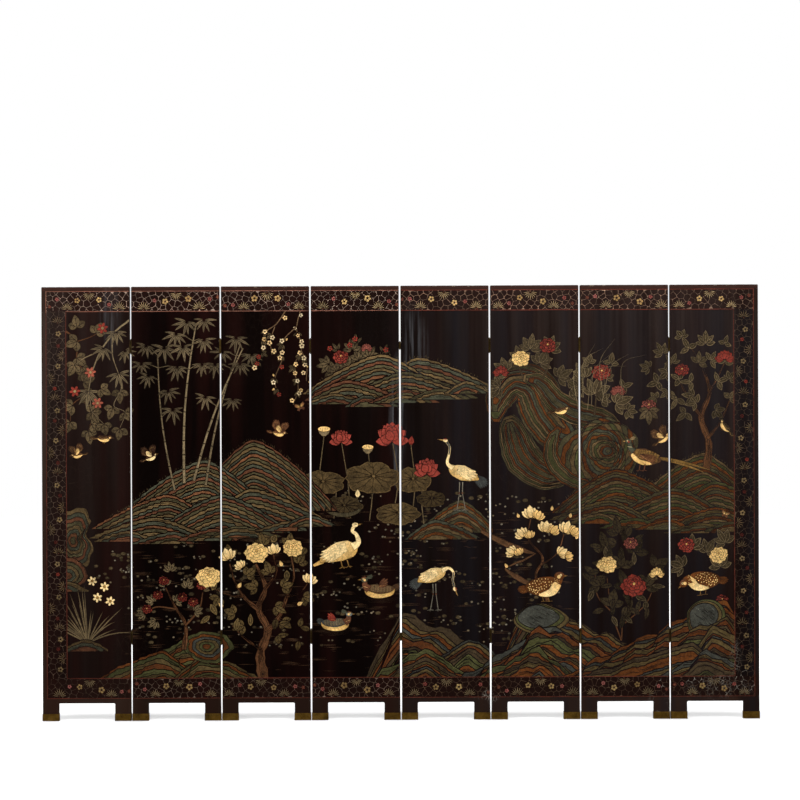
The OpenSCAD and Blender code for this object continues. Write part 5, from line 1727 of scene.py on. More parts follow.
def visible_faces(V, F, cls):
    """Triangles of the uppermost polygons only. A first triangulation finds which polygon is on top everywhere, and a
    second one is built on nothing but the lines along which that changes."""
    res = delaunay_2d_cdt(V, [], F, 0, 2e-4)
    v = np.array([(p.x, p.y) for p in res[0]])
    keep = [(t, max(o)) for t, o in zip(res[2], res[5]) if 0 in o and len(t) == 3]
    T = np.array([k[0] for k in keep], np.int64)
    own = cls[np.array([k[1] for k in keep], np.int64)]
    A, B = v[T[:, 1]] - v[T[:, 0]], v[T[:, 2]] - v[T[:, 0]]
    neg = A[:, 0] * B[:, 1] - A[:, 1] * B[:, 0] < 0
    T[neg] = T[neg][:, ::-1]
    E = np.concatenate([T[:, [0, 1]], T[:, [1, 2]], T[:, [2, 0]]])
    tri = np.tile(np.arange(len(T)), 3)
    key = np.sort(E, 1)
    code = key[:, 0] * len(v) + key[:, 1]
    order = np.argsort(code, kind="stable")
    cs = code[order]
    first = np.flatnonzero(np.r_[True, cs[1:] != cs[:-1]])
    count = np.diff(np.r_[first, len(cs)])
    f2, f1 = first[count == 2], first[count == 1]
    a, b = order[f2], order[f2 + 1]
    d = own[tri[a]] != own[tri[b]]
    a, b = a[d], b[d]
    e1 = order[f1]
    VE = np.concatenate([E[a], E[e1]])
    L = np.concatenate([own[tri[a]], own[tri[e1]]])
    R = np.concatenate([own[tri[b]], np.full(len(e1), -1)])
    # leave out points that lie on a straight run between two others
    for _ in range(7):
        nv = len(v)
        deg = np.bincount(VE.ravel(), minlength=nv)
        ends = np.full((nv, 2), -1, np.int64)
        both = np.concatenate([VE, VE[:, ::-1]])
        eid = np.tile(np.arange(len(VE)), 2)
        o = np.argsort(both[:, 0], kind="stable")
        st = np.flatnonzero(np.r_[True, both[o][1:, 0] != both[o][:-1, 0]])
        two = st[deg[both[o][st, 0]] == 2]
        m = both[o][two, 0]
        n1, n2 = both[o][two, 1], both[o][two + 1, 1]
        k1, k2 = eid[o][two], eid[o][two + 1]
        c = v[n2] - v[n1]
        w = v[m] - v[n1]
        ln = np.maximum(np.linalg.norm(c, axis=1), 1e-9)
        dev = np.abs(c[:, 0] * w[:, 1] - c[:, 1] * w[:, 0]) / ln
        along = (w * c).sum(1) / ln
        ok = (dev < 0.035) & (along > 0) & (along < ln) & (ln < 400)
        cand = np.zeros(nv, bool)
        cand[m[ok]] = True
        ok &= ~(cand[n1] & (n1 < m)) & ~(cand[n2] & (n2 < m))
        m, n1, n2, k1, k2 = m[ok], n1[ok], n2[ok], k1[ok], k2[ok]
        if not len(m):
            break
        # edge k1 joins n1 and m, k2 joins m and n2: k1 takes over the run, k2 goes
        fwd = VE[k1, 1] == m
        VE[k1[fwd], 1] = n2[fwd]
        VE[k1[~fwd], 0] = n2[~fwd]
        gone = np.zeros(len(VE), bool)
        gone[k2] = True
        VE, L, R = VE[~gone], L[~gone], R[~gone]
    used = np.unique(VE)
    back = np.full(len(v), -1)
    back[used] = np.arange(len(used))
    VE = back[VE]
    v = v[used]
    res = delaunay_2d_cdt([Vector((float(x), float(y))) for x, y in v], VE.tolist(), [], 0, 1e-5)
    w = np.array([(p.x, p.y) for p in res[0]])
    T = np.array([t for t in res[2] if len(t) == 3], np.int64)
    A, B = w[T[:, 1]] - w[T[:, 0]], w[T[:, 2]] - w[T[:, 0]]
    neg = A[:, 0] * B[:, 1] - A[:, 1] * B[:, 0] < 0
    T[neg] = T[neg][:, ::-1]
    nw = len(w)
    lines = {}
    for e, src in zip(res[1], res[4]):
        if src:
            k = src[0]
            p, q = VE[k]
            same = (w[e[1]] - w[e[0]]) @ (v[q] - v[p]) > 0
            i, j = (e[0], e[1]) if same else (e[1], e[0])
            lines[i * nw + j] = int(L[k])
            lines[j * nw + i] = int(R[k])
    codes = np.fromiter(lines.keys(), np.int64, len(lines))
    vals = np.fromiter(lines.values(), np.int64, len(lines))
    o = np.argsort(codes)
    codes, vals = codes[o], vals[o]
    E = np.concatenate([T[:, [0, 1]], T[:, [1, 2]], T[:, [2, 0]]])
    tri = np.tile(np.arange(len(T)), 3)
    c = E[:, 0] * nw + E[:, 1]
    at = np.clip(np.searchsorted(codes, c), 0, len(codes) - 1)
    hit = codes[at] == c
    lab = np.full(len(T), -2)
    lab[tri[hit]] = vals[at[hit]]
    free = ~hit
    key = np.sort(E[free], 1)
    code = key[:, 0] * nw + key[:, 1]
    ft = tri[free]
    o = np.argsort(code, kind="stable")
    cs = code[o]
    pr = np.flatnonzero(cs[1:] == cs[:-1])
    ta, tb = ft[o[pr]], ft[o[pr + 1]]
    for _ in range(400):
        x = (lab[ta] == -2) & (lab[tb] != -2)
        y = (lab[tb] == -2) & (lab[ta] != -2)
        if not x.any() and not y.any():
            break
        lab[ta[x]] = lab[tb[x]]
        lab[tb[y]] = lab[ta[y]]
    inside = lab >= 0
    return w, T[inside], lab[inside]


def carve(n, shapes, mats, name, turned=False):
    """Leaf n's slab from its painted shapes. mats: standing lacquer, colour, gilt, red line."""
    x0 = left_x(n)
    out = outline(SKIN_IN, 0) + [x0, 0]
    polys = [out] + [s[0] for s in shapes]
    origin = np.array([x0 + LEAF_W / 2, LEAF_H / 2])
    V, F = [], []
    for P in polys:
        F.append(list(range(len(V), len(V) + len(P))))
        V.extend(Vector((float(p[0]), float(p[1]))) for p in (P - origin))
    # polygons that look alike count as one
    seen, cls = {("ground",): 0}, [0]
    ground = tuple(np.round(PAL["ground"], 6))
    for i, (P, c, kind, c2, g) in enumerate(shapes):
        c = tuple(np.round(c, 6))
        k = ("ground",) if kind == 0 and c == ground else (kind, c) if g is None else (kind, c, tuple(np.round(c2, 6)), tuple(np.round(g, 3)))
        cls.append(seen.setdefault(k, i + 1))
    v2, T, own = visible_faces(V, F, np.array(cls, np.int64))
    v2 = v2 + origin
    kinds = np.array([0] + [s[2] for s in shapes])[own]
    low = kinds > 0
    # colours of the owner at the corners
    C1 = np.array([PAL["ground"]] + [s[1] for s in shapes])
    C2 = np.array([PAL["ground"]] + [s[3] for s in shapes])
    G = np.array([(0, 0, 0)] + [(s[4] if s[4] is not None else (0, 0, 0)) for s in shapes], float)
    tc = v2[T]  # tri, corner, xy
    g = G[own]
    d = np.linalg.norm(tc - g[:, None, :2], axis=2)
    f = np.where(g[:, None, 2] > 0, np.clip(d / np.maximum(g[:, None, 2], 1e-6), 0, 1), 0.0)
    col = C1[own][:, None, :] * (1 - f[..., None]) + C2[own][:, None, :] * f[..., None]
    # two copies of a vertex that both levels use
    nv = len(v2)
    used = np.zeros((2, nv), bool)
    used[0][T[~low].ravel()] = True
    used[1][T[low].ravel()] = True
    idx = np.full((2, nv), -1)
    k0, k1 = int(used[0].sum()), int(used[1].sum())
    idx[0][used[0]] = np.arange(k0)
    idx[1][used[1]] = k0 + np.arange(k1)
    top, bot = FRONT, FRONT + SINK
    V3 = [np.stack([v2[used[0]][:, 0], np.full(k0, top), v2[used[0]][:, 1]], 1), np.stack([v2[used[1]][:, 0], np.full(k1, bot), v2[used[1]][:, 1]], 1)]
    faces = np.where(low[:, None], idx[1][T], idx[0][T])
    # edges: who is on each side
    E = np.concatenate([T[:, [0, 1]], T[:, [1, 2]], T[:, [2, 0]]])
    tri = np.tile(np.arange(len(T)), 3)
    key = np.sort(E, 1)
    code = key[:, 0] * nv + key[:, 1]
    order = np.argsort(code, kind="stable")
    cs = code[order]
    first = np.flatnonzero(np.r_[True, cs[1:] != cs[:-1]])
    count = np.diff(np.r_[first, len(cs)])
    pair = first[count == 2]
    a, b = order[pair], order[pair + 1]
    la, lb = low[tri[a]], low[tri[b]]
    diff = la != lb
    a, b, la = a[diff], b[diff], la[diff]
    hiE = np.where(la[:, None], E[b], E[a])  # the edge as the standing side sees it, anticlockwise
    lowtri = np.where(la, tri[a], tri[b])
    w = [np.stack([idx[0][hiE[:, 1]], idx[0][hiE[:, 0]], idx[1][hiE[:, 0]], idx[1][hiE[:, 1]]], 1)]
    wallcol = col[lowtri].mean(1) * 0.55 + np.array(PAL["clay"]) * 0.25
    # the outer rim, one wall down to the slab's back
    single = order[first[count == 1]]
    be, bt = E[single], tri[single]
    nxt = {int(e[0]): (int(e[1]), int(t)) for e, t in zip(be, bt)}
    start = int(be[0][0])
    loop, cur = [], start
    for _ in range(len(be) + 1):
        loop.append(cur)
        cur = nxt[cur][0]
        if cur == start:
            break
    base = k0 + k1
    lv = v2[loop]
    V3.append(np.stack([lv[:, 0], np.full(len(loop), FRONT + SKIN_T), lv[:, 1]], 1))
    V3 = np.vstack(V3)
    rim = []
    pos = {v: base + i for i, v in enumerate(loop)}
    m = len(loop)
    levs = [1 if low[nxt[v][1]] else 0 for v in loop]
    for i, v in enumerate(loop):
        u, lev = loop[(i + 1) % m], levs[i]
        f_ = [idx[lev][u], idx[lev][v]]
        # where a wall comes down on the rim, the standing side's rim face takes its lower end in
        if lev == 0 and levs[i - 1] == 1:
            f_.append(idx[1][v])
        f_ += [pos[v], pos[u]]
        if lev == 0 and levs[(i + 1) % m] == 1:
            f_.append(idx[1][u])
        rim.append([int(q) for q in f_])
    # assemble (triangles face the front, -Y: anticlockwise in x, z seen from the front is +x right, +z up)
    allf = faces.tolist() + w[0].tolist() + rim
    nf, nw, nr = len(faces), len(w[0]), len(rim)
    allf.append([int(pos[v]) for v in reversed(loop)])
    mi = np.concatenate([kinds, np.full(nw, 1), np.zeros(nr + 1, int)])
    rim_n = sum(len(r) for r in rim)
    cols = np.vstack([col.reshape(-1, 3), np.repeat(wallcol, 4, 0), np.tile(PAL["margin"], (rim_n + len(loop), 1))])
    cols = np.hstack([cols, np.ones((len(cols), 1))])
    V3[:, 0] -= HALF
    W3 = V3.copy()
    if turned:
        # half a turn about the leaf's upright middle line: the slab faces the back
        W3[:, 0] = 2 * (x0 + LEAF_W / 2 - HALF) - W3[:, 0]
        W3[:, 1] = -W3[:, 1]
    ob = mesh_object(name, W3 / 1000.0, allf, mats, mi, None)
    me = ob.data
    if len(me.loops) == len(cols):
        att = me.color_attributes.new("tint", "FLOAT_COLOR", "CORNER")
        att.data.foreach_set("color", cols.astype(np.float32).ravel())
    else:
        raise RuntimeError(f"{name}: {len(me.loops)} corners, {len(cols)} colours")
    if turned:
        return ob, len(T) + 2 * nw + 2 * nr, len(me.polygons)
    # a planar map of the front for textures: walls and rim get a little width, the back lies in the cut-out
    uv = me.uv_layers.new(name="OFBake")
    co = V3 + [HALF, 0, 0]
    li = np.concatenate([np.asarray(f_) for f_ in allf])
    q = co[li][:, [0, 2]] - [x0, 0]
    e = v2[hiE[:, 1]] - v2[hiE[:, 0]]
    e = np.stack([e[:, 1], -e[:, 0]], 1) / np.maximum(np.linalg.norm(e, axis=1, keepdims=True), 1e-9)
    s0 = nf * 3
    for k in (2, 3):
        q[s0 + k : s0 + 4 * nw : 4] += e * [0.3, 0.9]
    r0 = s0 + 4 * nw
    rq, low_pt = q[r0 : r0 + rim_n], li[r0 : r0 + rim_n] >= base
    ctr = np.array([LEAF_W / 2, LEAF_H / 2])
    rq[low_pt] += np.sign(rq[low_pt] - ctr) * [0.9, 3.0]
    q[r0 : r0 + rim_n] = rq
    bk = q[r0 + rim_n :]
    q[r0 + rim_n :] = np.stack([LEG_W + 14 + (LEAF_W - 2 * LEG_W - 28) * bk[:, 0] / LEAF_W, 4 + (CUT_H - 16) * bk[:, 1] / LEAF_H], 1)
    uvs = (q - [0.2, -2.0]) / [LEAF_W - 0.4, LEAF_H + 4.0]
    uv.data.foreach_set("uv", uvs.astype(np.float32).ravel())
    me.uv_layers.active = uv
    return ob, len(T) + 2 * nw + 2 * nr, len(me.polygons)


# ---------------------------------------------------------------------------------------------------------------------
# Materials. All of them are worked out from the surface itself: noise, wear, unevenness and, on the lacquer and floor,
# painted sheen and glow, in the screen's own frame.
# ---------------------------------------------------------------------------------------------------------------------
class Mat:
    def __init__(self, name):
        self.m = bpy.data.materials.new(name)
        self.m.use_nodes = True
        self.t = self.m.node_tree
        self.t.nodes.clear()
        self.out = self.t.nodes.new("ShaderNodeOutputMaterial")
        self.b = self.t.nodes.new("ShaderNodeBsdfPrincipled")
        self.t.links.new(self.b.outputs[0], self.out.inputs["Surface"])
        self.co = self.t.nodes.new("ShaderNodeTexCoord").outputs["Object"]

    def put(self, **kw):
        for k, v in kw.items():
            s = self.b.inputs[k.replace("_", " ")]
            if hasattr(v, "is_linked"):
                self.t.links.new(v, s)
            else:
                s.default_value = v

    def map(self, scale=(1, 1, 1), loc=(0, 0, 0), rot=(0, 0, 0)):
        n = self.t.nodes.new("ShaderNodeMapping")
        self.t.links.new(self.co, n.inputs["Vector"])
        n.inputs["Scale"].default_value = scale
        n.inputs["Location"].default_value = loc
        n.inputs["Rotation"].default_value = rot
        return n.outputs[0]

    def noise(self, scale, detail=3.0, rough=0.55, vec=None, dist=0.0, lac=2.0):
        n = self.t.nodes.new("ShaderNodeTexNoise")
        self.t.links.new(self.co if vec is None else vec, n.inputs["Vector"])
        n.inputs["Scale"].default_value = scale
        n.inputs["Detail"].default_value = detail
        n.inputs["Roughness"].default_value = rough
        n.inputs["Lacunarity"].default_value = lac
        n.inputs["Distortion"].default_value = dist
        return n.outputs["Fac"]

    def voronoi(self, scale, feature="DISTANCE_TO_EDGE", vec=None, rand=1.0):
        n = self.t.nodes.new("ShaderNodeTexVoronoi")
        n.feature = feature
        self.t.links.new(self.co if vec is None else vec, n.inputs["Vector"])
        n.inputs["Scale"].default_value = scale
        n.inputs["Randomness"].default_value = rand
        return n.outputs["Distance"]

    def ramp(self, fac, *stops, interp="LINEAR"):
        n = self.t.nodes.new("ShaderNodeValToRGB")
        n.color_ramp.interpolation = interp
        e = n.color_ramp.elements
        while len(e) < len(stops):
            e.new(0.5)
        for el, (p, c) in zip(e, stops):
            el.position = p
            el.color = (c, c, c, 1) if np.ndim(c) == 0 else (*map(float, c), 1)
        self.t.links.new(fac, n.inputs[0])
        return n.outputs[0]

    def math(self, op, a, b=None, c=None, clamp=False):
        n = self.t.nodes.new("ShaderNodeMath")
        n.operation = op
        n.use_clamp = clamp
        for i, v in enumerate((a, b, c)):
            if v is None:
                continue
            if hasattr(v, "is_linked"):
                self.t.links.new(v, n.inputs[i])
            else:
                n.inputs[i].default_value = v
        return n.outputs[0]

    def mix(self, a, b, fac, blend="MIX"):
        n = self.t.nodes.new("ShaderNodeMix")
        n.data_type = "RGBA"
        n.blend_type = blend
        ins = {"Factor": n.inputs[0], "A": n.inputs[6], "B": n.inputs[7]}
        for k, v in (("Factor", fac), ("A", a), ("B", b)):
            if hasattr(v, "is_linked"):
                self.t.links.new(v, ins[k])
            elif k == "Factor":
                ins[k].default_value = v
            else:
                ins[k].default_value = (*map(float, v), 1)
        return n.outputs[2]

    def attr(self, name="tint"):
        n = self.t.nodes.new("ShaderNodeAttribute")
        n.attribute_name = name
        return n.outputs["Color"]

    def axis(self, i):
        n = self.t.nodes.new("ShaderNodeSeparateXYZ")
        self.t.links.new(self.co, n.inputs[0])
        return n.outputs[i]

    def bump(self, height, dist, strength=1.0, normal=None):
        n = self.t.nodes.new("ShaderNodeBump")
        n.inputs["Distance"].default_value = dist
        n.inputs["Strength"].default_value = strength
        self.t.links.new(height, n.inputs["Height"])
        if normal is not None:
            self.t.links.new(normal, n.inputs["Normal"])
        return n.outputs[0]


def streaks(M):
    """Soft upright bands in the lacquer, as it was brushed and polished. They vary its roughness and give the painted
    sheen in its colour its streaks.
    """
    a = M.noise(1.0, 4, 0.6, M.map((17, 3, 0.55)))
    b = M.noise(1.0, 3, 0.5, M.map((70, 5, 1.3), (3.1, 0, 0.7)))
    return M.math("MULTIPLY_ADD", a, 0.7, M.math("MULTIPLY", b, 0.3))


def spot(M, cx, cz, rx, rz):
    """1 in the middle of a place on the front, 0 outside it (metres)."""
    dx = M.math("MULTIPLY", M.math("SUBTRACT", M.axis(0), cx), 1 / rx)
    dz = M.math("MULTIPLY", M.math("SUBTRACT", M.axis(2), cz), 1 / rz)
    d = M.math("ADD", M.math("MULTIPLY", dx, dx), M.math("MULTIPLY", dz, dz))
    return M.math("SUBTRACT", 1.0, d, clamp=True)


def chalk(M):
    """White craquelure where the ground has lifted: foot of the last leaf, and a few small places besides."""
    a = M.math("MAXIMUM", M.math("MULTIPLY", spot(M, 1.34, 0.137, 0.17, 0.058), 0.35), M.math("MULTIPLY", spot(M, 1.41, 0.25, 0.03, 0.10), 0.35))
    a = M.math("MAXIMUM", a, M.math("MULTIPLY", spot(M, 0.36, 0.10, 0.06, 0.035), 0.8))
    a = M.math("MAXIMUM", a, M.math("MULTIPLY", spot(M, 1.08, 0.06, 0.05, 0.06), 0.7))
    line = M.ramp(M.voronoi(62), (0.0, 1.0), (0.05, 0.0))
    flake = M.ramp(M.noise(90, 5, 0.7), (0.64, 0.0), (0.69, 1.0))
    return M.math("MULTIPLY", a, M.math("MULTIPLY", M.math("MAXIMUM", line, flake), M.ramp(M.noise(16, 3, 0.6), (0.44, 0.0), (0.56, 1.0))))


def lacquer_front(plain=False):
    M = Mat("lacquer_back_face" if plain else "lacquer_standing")
    tint = M.attr()
    s = streaks(M)
    # the leaves are painted unlike: the second to fourth stay darkest and warm, the first and the right-hand ones are
    # greyer with a painted sheen, as of the lamps mirrored in the lacquer, and all of them are painted paler towards
    # the top, as if lit from above
    x = M.math("MULTIPLY_ADD", M.axis(0), 0.3307, 0.5)
    z = M.math("MULTIPLY", M.axis(2), 0.5464)
    tone = M.ramp(x, (0.0, 0.9), (1.0, 0.9)) if plain else M.ramp(x, (0.0, 1.0), (0.12, 0.95), (0.14, 0.62), (0.50, 0.62), (0.60, 0.8), (0.94, 1.0), (0.968, 1.0), (0.974, 0.5))
    if not plain:
        # the field itself is deepest on the second to fifth leaves
        deep = M.ramp(x, (0.0, 0.12), (0.12, 0.10), (0.14, 0.42), (0.36, 0.36), (0.50, 0.34), (0.60, 0.26), (0.75, 0.08), (1.0, 0.0))
        field = M.ramp(z, (0.097, 0.0), (0.099, 1.0), (0.942, 1.0), (0.944, 0.0))
        tone = M.math("MULTIPLY", tone, M.math("SUBTRACT", 1.0, M.math("MULTIPLY", deep, field)))
    tv = M.t.nodes.new("ShaderNodeVectorMath")
    tv.operation = "SCALE"
    M.t.links.new(tint, tv.inputs[0])
    M.t.links.new(tone, tv.inputs["Scale"])
    # painted sheen, not wear: this mask lays a pale veil by leaf and by height, strongest on the first leaf and its
    # margin, on the right-hand leaves and towards the top, as of lamps mirrored in the lacquer
    sheen_by_leaf = M.ramp(x, (0.0, 0.3), (1.0, 0.4)) if plain else M.ramp(x, (0.0, 1.0), (0.033, 0.95), (0.036, 0.28), (0.11, 0.22), (0.13, 0.0), (0.38, 0.0), (0.50, 0.12), (0.62, 0.50), (0.76, 0.74), (0.968, 0.88), (0.974, 0.4))
    sheen_by_height = M.ramp(z, (0.10, 0.05), (0.35, 0.25), (0.60, 0.62), (0.95, 1.0))
    worn = M.math("MULTIPLY", sheen_by_leaf, sheen_by_height)
    if not plain:
        worn = M.math("ADD", worn, M.ramp(x, (0.034, 0.0), (0.036, 0.13), (0.12, 0.13), (0.13, 0.0)))
    # painted light: the top margin is made lighter, as if lit from above
    painted_top_light = M.ramp(z, (0.9885, 0.0), (0.991, 1.0))
    streak = M.ramp(s, (0.40, 0.35), (0.64, 1.25))
    painted_sheen = M.math("MULTIPLY", worn, M.math("MULTIPLY", streak, 0.62), clamp=True)
    base = M.mix(tv.outputs[0], lin("#3d322d"), painted_sheen)
    base = M.mix(base, lin("#4d2f27"), M.math("MULTIPLY", painted_top_light, 0.55))
    # painted sheen: a cool grey-blue veil in soft upright streaks over the right-hand leaves, as of lamps mirrored in
    # the lacquer
    painted_cool_sheen = M.math("MULTIPLY", M.ramp(x, (0.45, 0.0), (0.58, 1.0)), M.ramp(M.noise(1.0, 3, 0.5, M.map((11, 2, 0.45), (2, 5, 1))), (0.40, 0.0), (0.62, 0.55)))
    # the two cross bands are browner than the field between them, and the painted cool sheen mostly stays off them
    ring = M.ramp(z, (0.050, 0.0), (0.053, 1.0), (0.097, 1.0), (0.099, 0.0), (0.942, 0.0), (0.944, 1.0))
    ring = M.math("MULTIPLY", ring, 0.0 if plain else 1.0)
    painted_cool_sheen = M.math("MULTIPLY", painted_cool_sheen, M.math("SUBTRACT", 1.0, M.math("MULTIPLY", ring, 0.85)))
    base = M.mix(base, lin("#1a191d"), painted_cool_sheen)
    base = M.mix(base, lin("#26130d"), M.math("MULTIPLY", ring, 0.4))
    red = M.math("MULTIPLY", M.ramp(M.noise(1.0, 3, 0.5, M.map((9, 2, 0.8), (7, 1, 2))), (0.46, 0.0), (0.72, 0.6)), M.ramp(x, (0.45, 0.7), (0.62, 0.22)))
    base = M.mix(base, lin("#2a0e0a"), red)
    # painted sheen: pale upright runs beside the middle joint and at a few other places, as of light mirrored in the
    # lacquer
    run = M.ramp(M.noise(1.0, 6, 0.7, M.map((90, 10, 3.4), (4, 2, 7)), dist=0.22), (0.46, 0.0), (0.70, 1.0))
    sheen_place = M.math("MAXIMUM", spot(M, -0.012, 1.26, 0.04, 0.30), M.math("MULTIPLY", spot(M, -1.22, 1.72, 0.05, 0.2), 0.5))
    sheen_place = M.math("MAXIMUM", sheen_place, M.math("MULTIPLY", spot(M, 0.06, 1.56, 0.07, 0.24), 0.5))
    base = M.mix(base, lin("#86888c"), M.math("MULTIPLY", M.math("MULTIPLY", run, sheen_place), 0.0 if plain else 0.42))
    # hair cracks and rubbed spots
    crack = M.ramp(M.voronoi(46, vec=M.map((1, 1, 0.55))), (0.0, 1.0), (0.016, 0.0))
    where = M.ramp(M.noise(2.4, 4, 0.6), (0.50, 0.0), (0.70, 1.0))
    crack = M.math("MULTIPLY", crack, where)
    base = M.mix(base, lin("#4a3c30"), M.math("MULTIPLY", crack, 0.35))
    speck = M.ramp(M.noise(320, 2, 0.7), (0.72, 0.0), (0.78, 1.0))
    base = M.mix(base, lin("#6f6250"), M.math("MULTIPLY", speck, M.math("MULTIPLY", where, 0.6)))
    ch = chalk(M)
    base = M.mix(base, lin("#d8d0c0"), M.math("MULTIPLY", ch, 0.0 if plain else 0.8))
    rough = M.math("MULTIPLY_ADD", M.noise(7, 5, 0.65), 0.22, M.math("MULTIPLY_ADD", s, 0.16, 0.14))
    M.put(Base_Color=base, Roughness=rough, Specular_IOR_Level=0.15, IOR=1.5)
    h = M.math("MULTIPLY_ADD", M.noise(1.0, 3, 0.5, M.map((40, 4, 3))), 0.7, M.math("MULTIPLY", M.noise(130, 4, 0.6), 0.35))
    M.put(Normal=M.bump(M.math("SUBTRACT", h, M.math("MULTIPLY", crack, 0.3)), 0.0009, 0.5))
    return M.m


def fill(name, rough0=0.62, wear=0.5, metal=0.0, bright=1.0, spec=0.12):
    """Colour laid in a sunk cell: powdery, uneven, rubbed away here and there."""
    M = Mat(name)
    tint = M.attr()
    n1 = M.ramp(M.noise(24, 5, 0.65), (0.36, 0.0), (0.64, 1.0))
    n2 = M.ramp(M.noise(150, 4, 0.7), (0.38, 0.0), (0.62, 1.0))
    k = M.math("MULTIPLY_ADD", n1, 0.42, M.math("MULTIPLY_ADD", n2, 0.5, 0.48 * bright))
    vv = M.t.nodes.new("ShaderNodeVectorMath")
    vv.operation = "SCALE"
    M.t.links.new(tint, vv.inputs[0])
    M.t.links.new(k, vv.inputs["Scale"])
    base = vv.outputs[0]
    # grime in the cells, and bare dark patches
    patch = M.ramp(M.noise(42, 6, 0.75), (0.56, 0.0), (0.70, 1.0))
    sp = M.t.nodes.new("ShaderNodeSeparateColor")
    M.t.links.new(tint, sp.inputs[0])
    spare = M.ramp(sp.outputs[1], (0.22, 1.0), (0.5, 0.12))
    base = M.mix(base, lin("#1a110c"), M.math("MULTIPLY", M.math("MULTIPLY", patch, wear), spare))
    dust = M.ramp(M.noise(430, 2, 0.6), (0.62, 0.0), (0.70, 1.0))
    base = M.mix(base, lin("#a08c66"), M.math("MULTIPLY", dust, 0.22 * (wear + 0.3)))
    base = M.mix(base, lin("#c9bda4"), M.math("MULTIPLY", chalk(M), 0.55))
    M.put(Base_Color=base, Roughness=M.math("MULTIPLY_ADD", n2, 0.2, rough0 - 0.1), Specular_IOR_Level=spec, Metallic=metal)
    M.put(Normal=M.bump(M.math("MULTIPLY_ADD", n1, 0.4, M.math("MULTIPLY", n2, 0.5)), 0.0007, 0.6))
    return M.m


def lacquer_edge():
    """Sides of the boards: dark lacquer rubbed to the brown ground along the arrises."""
    M = Mat("lacquer_edge")
    tint = M.attr()
    n = M.noise(30, 5, 0.6)
    s = M.noise(1.0, 4, 0.6, M.map((60, 60, 2.2)))
    base = M.mix(tint, lin("#1b0f0b"), M.ramp(s, (0.35, 0.0), (0.7, 0.6)))
    rub = M.ramp(M.math("MULTIPLY_ADD", n, 0.6, M.math("MULTIPLY", s, 0.4)), (0.54, 0.0), (0.66, 1.0))
    base = M.mix(base, lin("#4a2c1c"), M.math("MULTIPLY", rub, 0.45))
    M.put(Base_Color=base, Roughness=M.math("MULTIPLY_ADD", n, 0.3, 0.28), Specular_IOR_Level=0.2)
    M.put(Normal=M.bump(M.math("ADD", M.math("MULTIPLY", s, 0.6), M.math("MULTIPLY", M.noise(220, 4, 0.7), 0.4)), 0.0008, 0.6))
    return M.m


def brass(name, c0, c1, c2, rough=0.42, grime=0.5):
    """Old brass: a patchy brown skin, dark spots and scratches."""
    M = Mat(name)
    n = M.noise(26, 6, 0.68)
    f = M.noise(190, 4, 0.7)
    base = M.ramp(M.math("MULTIPLY_ADD", n, 0.72, M.math("MULTIPLY", f, 0.28)), (0.30, lin(c0)), (0.50, lin(c1)), (0.70, lin(c2)))
    spots = M.ramp(M.noise(75, 5, 0.7, dist=0.4), (0.55, 0.0), (0.68, 1.0))
    base = M.mix(base, lin("#2a1d0c"), M.math("MULTIPLY", spots, grime))
    scratch = M.ramp(M.noise(1.0, 2, 0.5, M.map((35, 35, 900), rot=(0.2, 0.5, 0.1))), (0.62, 0.0), (0.70, 1.0))
    base = M.mix(base, lin("#b3985a"), M.math("MULTIPLY", scratch, 0.18))
    M.put(Base_Color=base, Metallic=0.72, Roughness=M.math("MULTIPLY_ADD", n, 0.34, rough - 0.08))
    M.put(Normal=M.bump(M.math("MULTIPLY_ADD", f, 0.5, M.math("MULTIPLY", n, 0.6)), 0.0009, 0.6))
    return M.m


def wood(name):
    M = Mat(name)
    g = M.noise(1.0, 6, 0.6, M.map((55, 55, 3.2)))
    f = M.noise(1.0, 3, 0.6, M.map((420, 420, 14)))
    base = M.ramp(M.math("MULTIPLY_ADD", g, 0.75, M.math("MULTIPLY", f, 0.25)), (0.3, lin("#3a2415")), (0.5, lin("#5f4026")), (0.7, lin("#7c5a38")))
    M.put(Base_Color=base, Roughness=M.math("MULTIPLY_ADD", f, 0.2, 0.6))
    M.put(Normal=M.bump(M.math("ADD", g, M.math("MULTIPLY", f, 0.4)), 0.0008, 0.5))
    return M.m


def floor_mat():
    M = Mat("floor_paper")
    n = M.noise(5, 5, 0.6)
    M.put(Base_Color=M.ramp(n, (0.3, 0.74), (0.7, 0.77)), Roughness=M.math("MULTIPLY_ADD", n, 0.1, 0.85), Specular_IOR_Level=0.0)
    # a paper sweep, white all over: it glows with painted light of its own everywhere but in a band at the screen's
    # feet, where the glow is cut off and the real shade there shows grey
    M.put(Emission_Color=M.ramp(M.math("ADD", M.axis(1), 0.5, clamp=True), (0.42, 0.32), (0.475, 0.0), (0.62, 0.0), (0.70, 0.32)), Emission_Strength=1.0)
    M.put(Normal=M.bump(M.noise(300, 3, 0.6), 0.0004, 0.3))
    return M.m


# ---------------------------------------------------------------------------------------------------------------------
# Boards, shoes and metalwork
# ---------------------------------------------------------------------------------------------------------------------
RINGS = [(1.6, 9.9), (1.6, 11.0), (0.8, 10.8), (0.25, 10.3), (0.0, 9.5), (0.0, -9.5), (0.25, -10.3), (0.8, -10.8), (1.6, -11.0), (1.6, -9.9)]


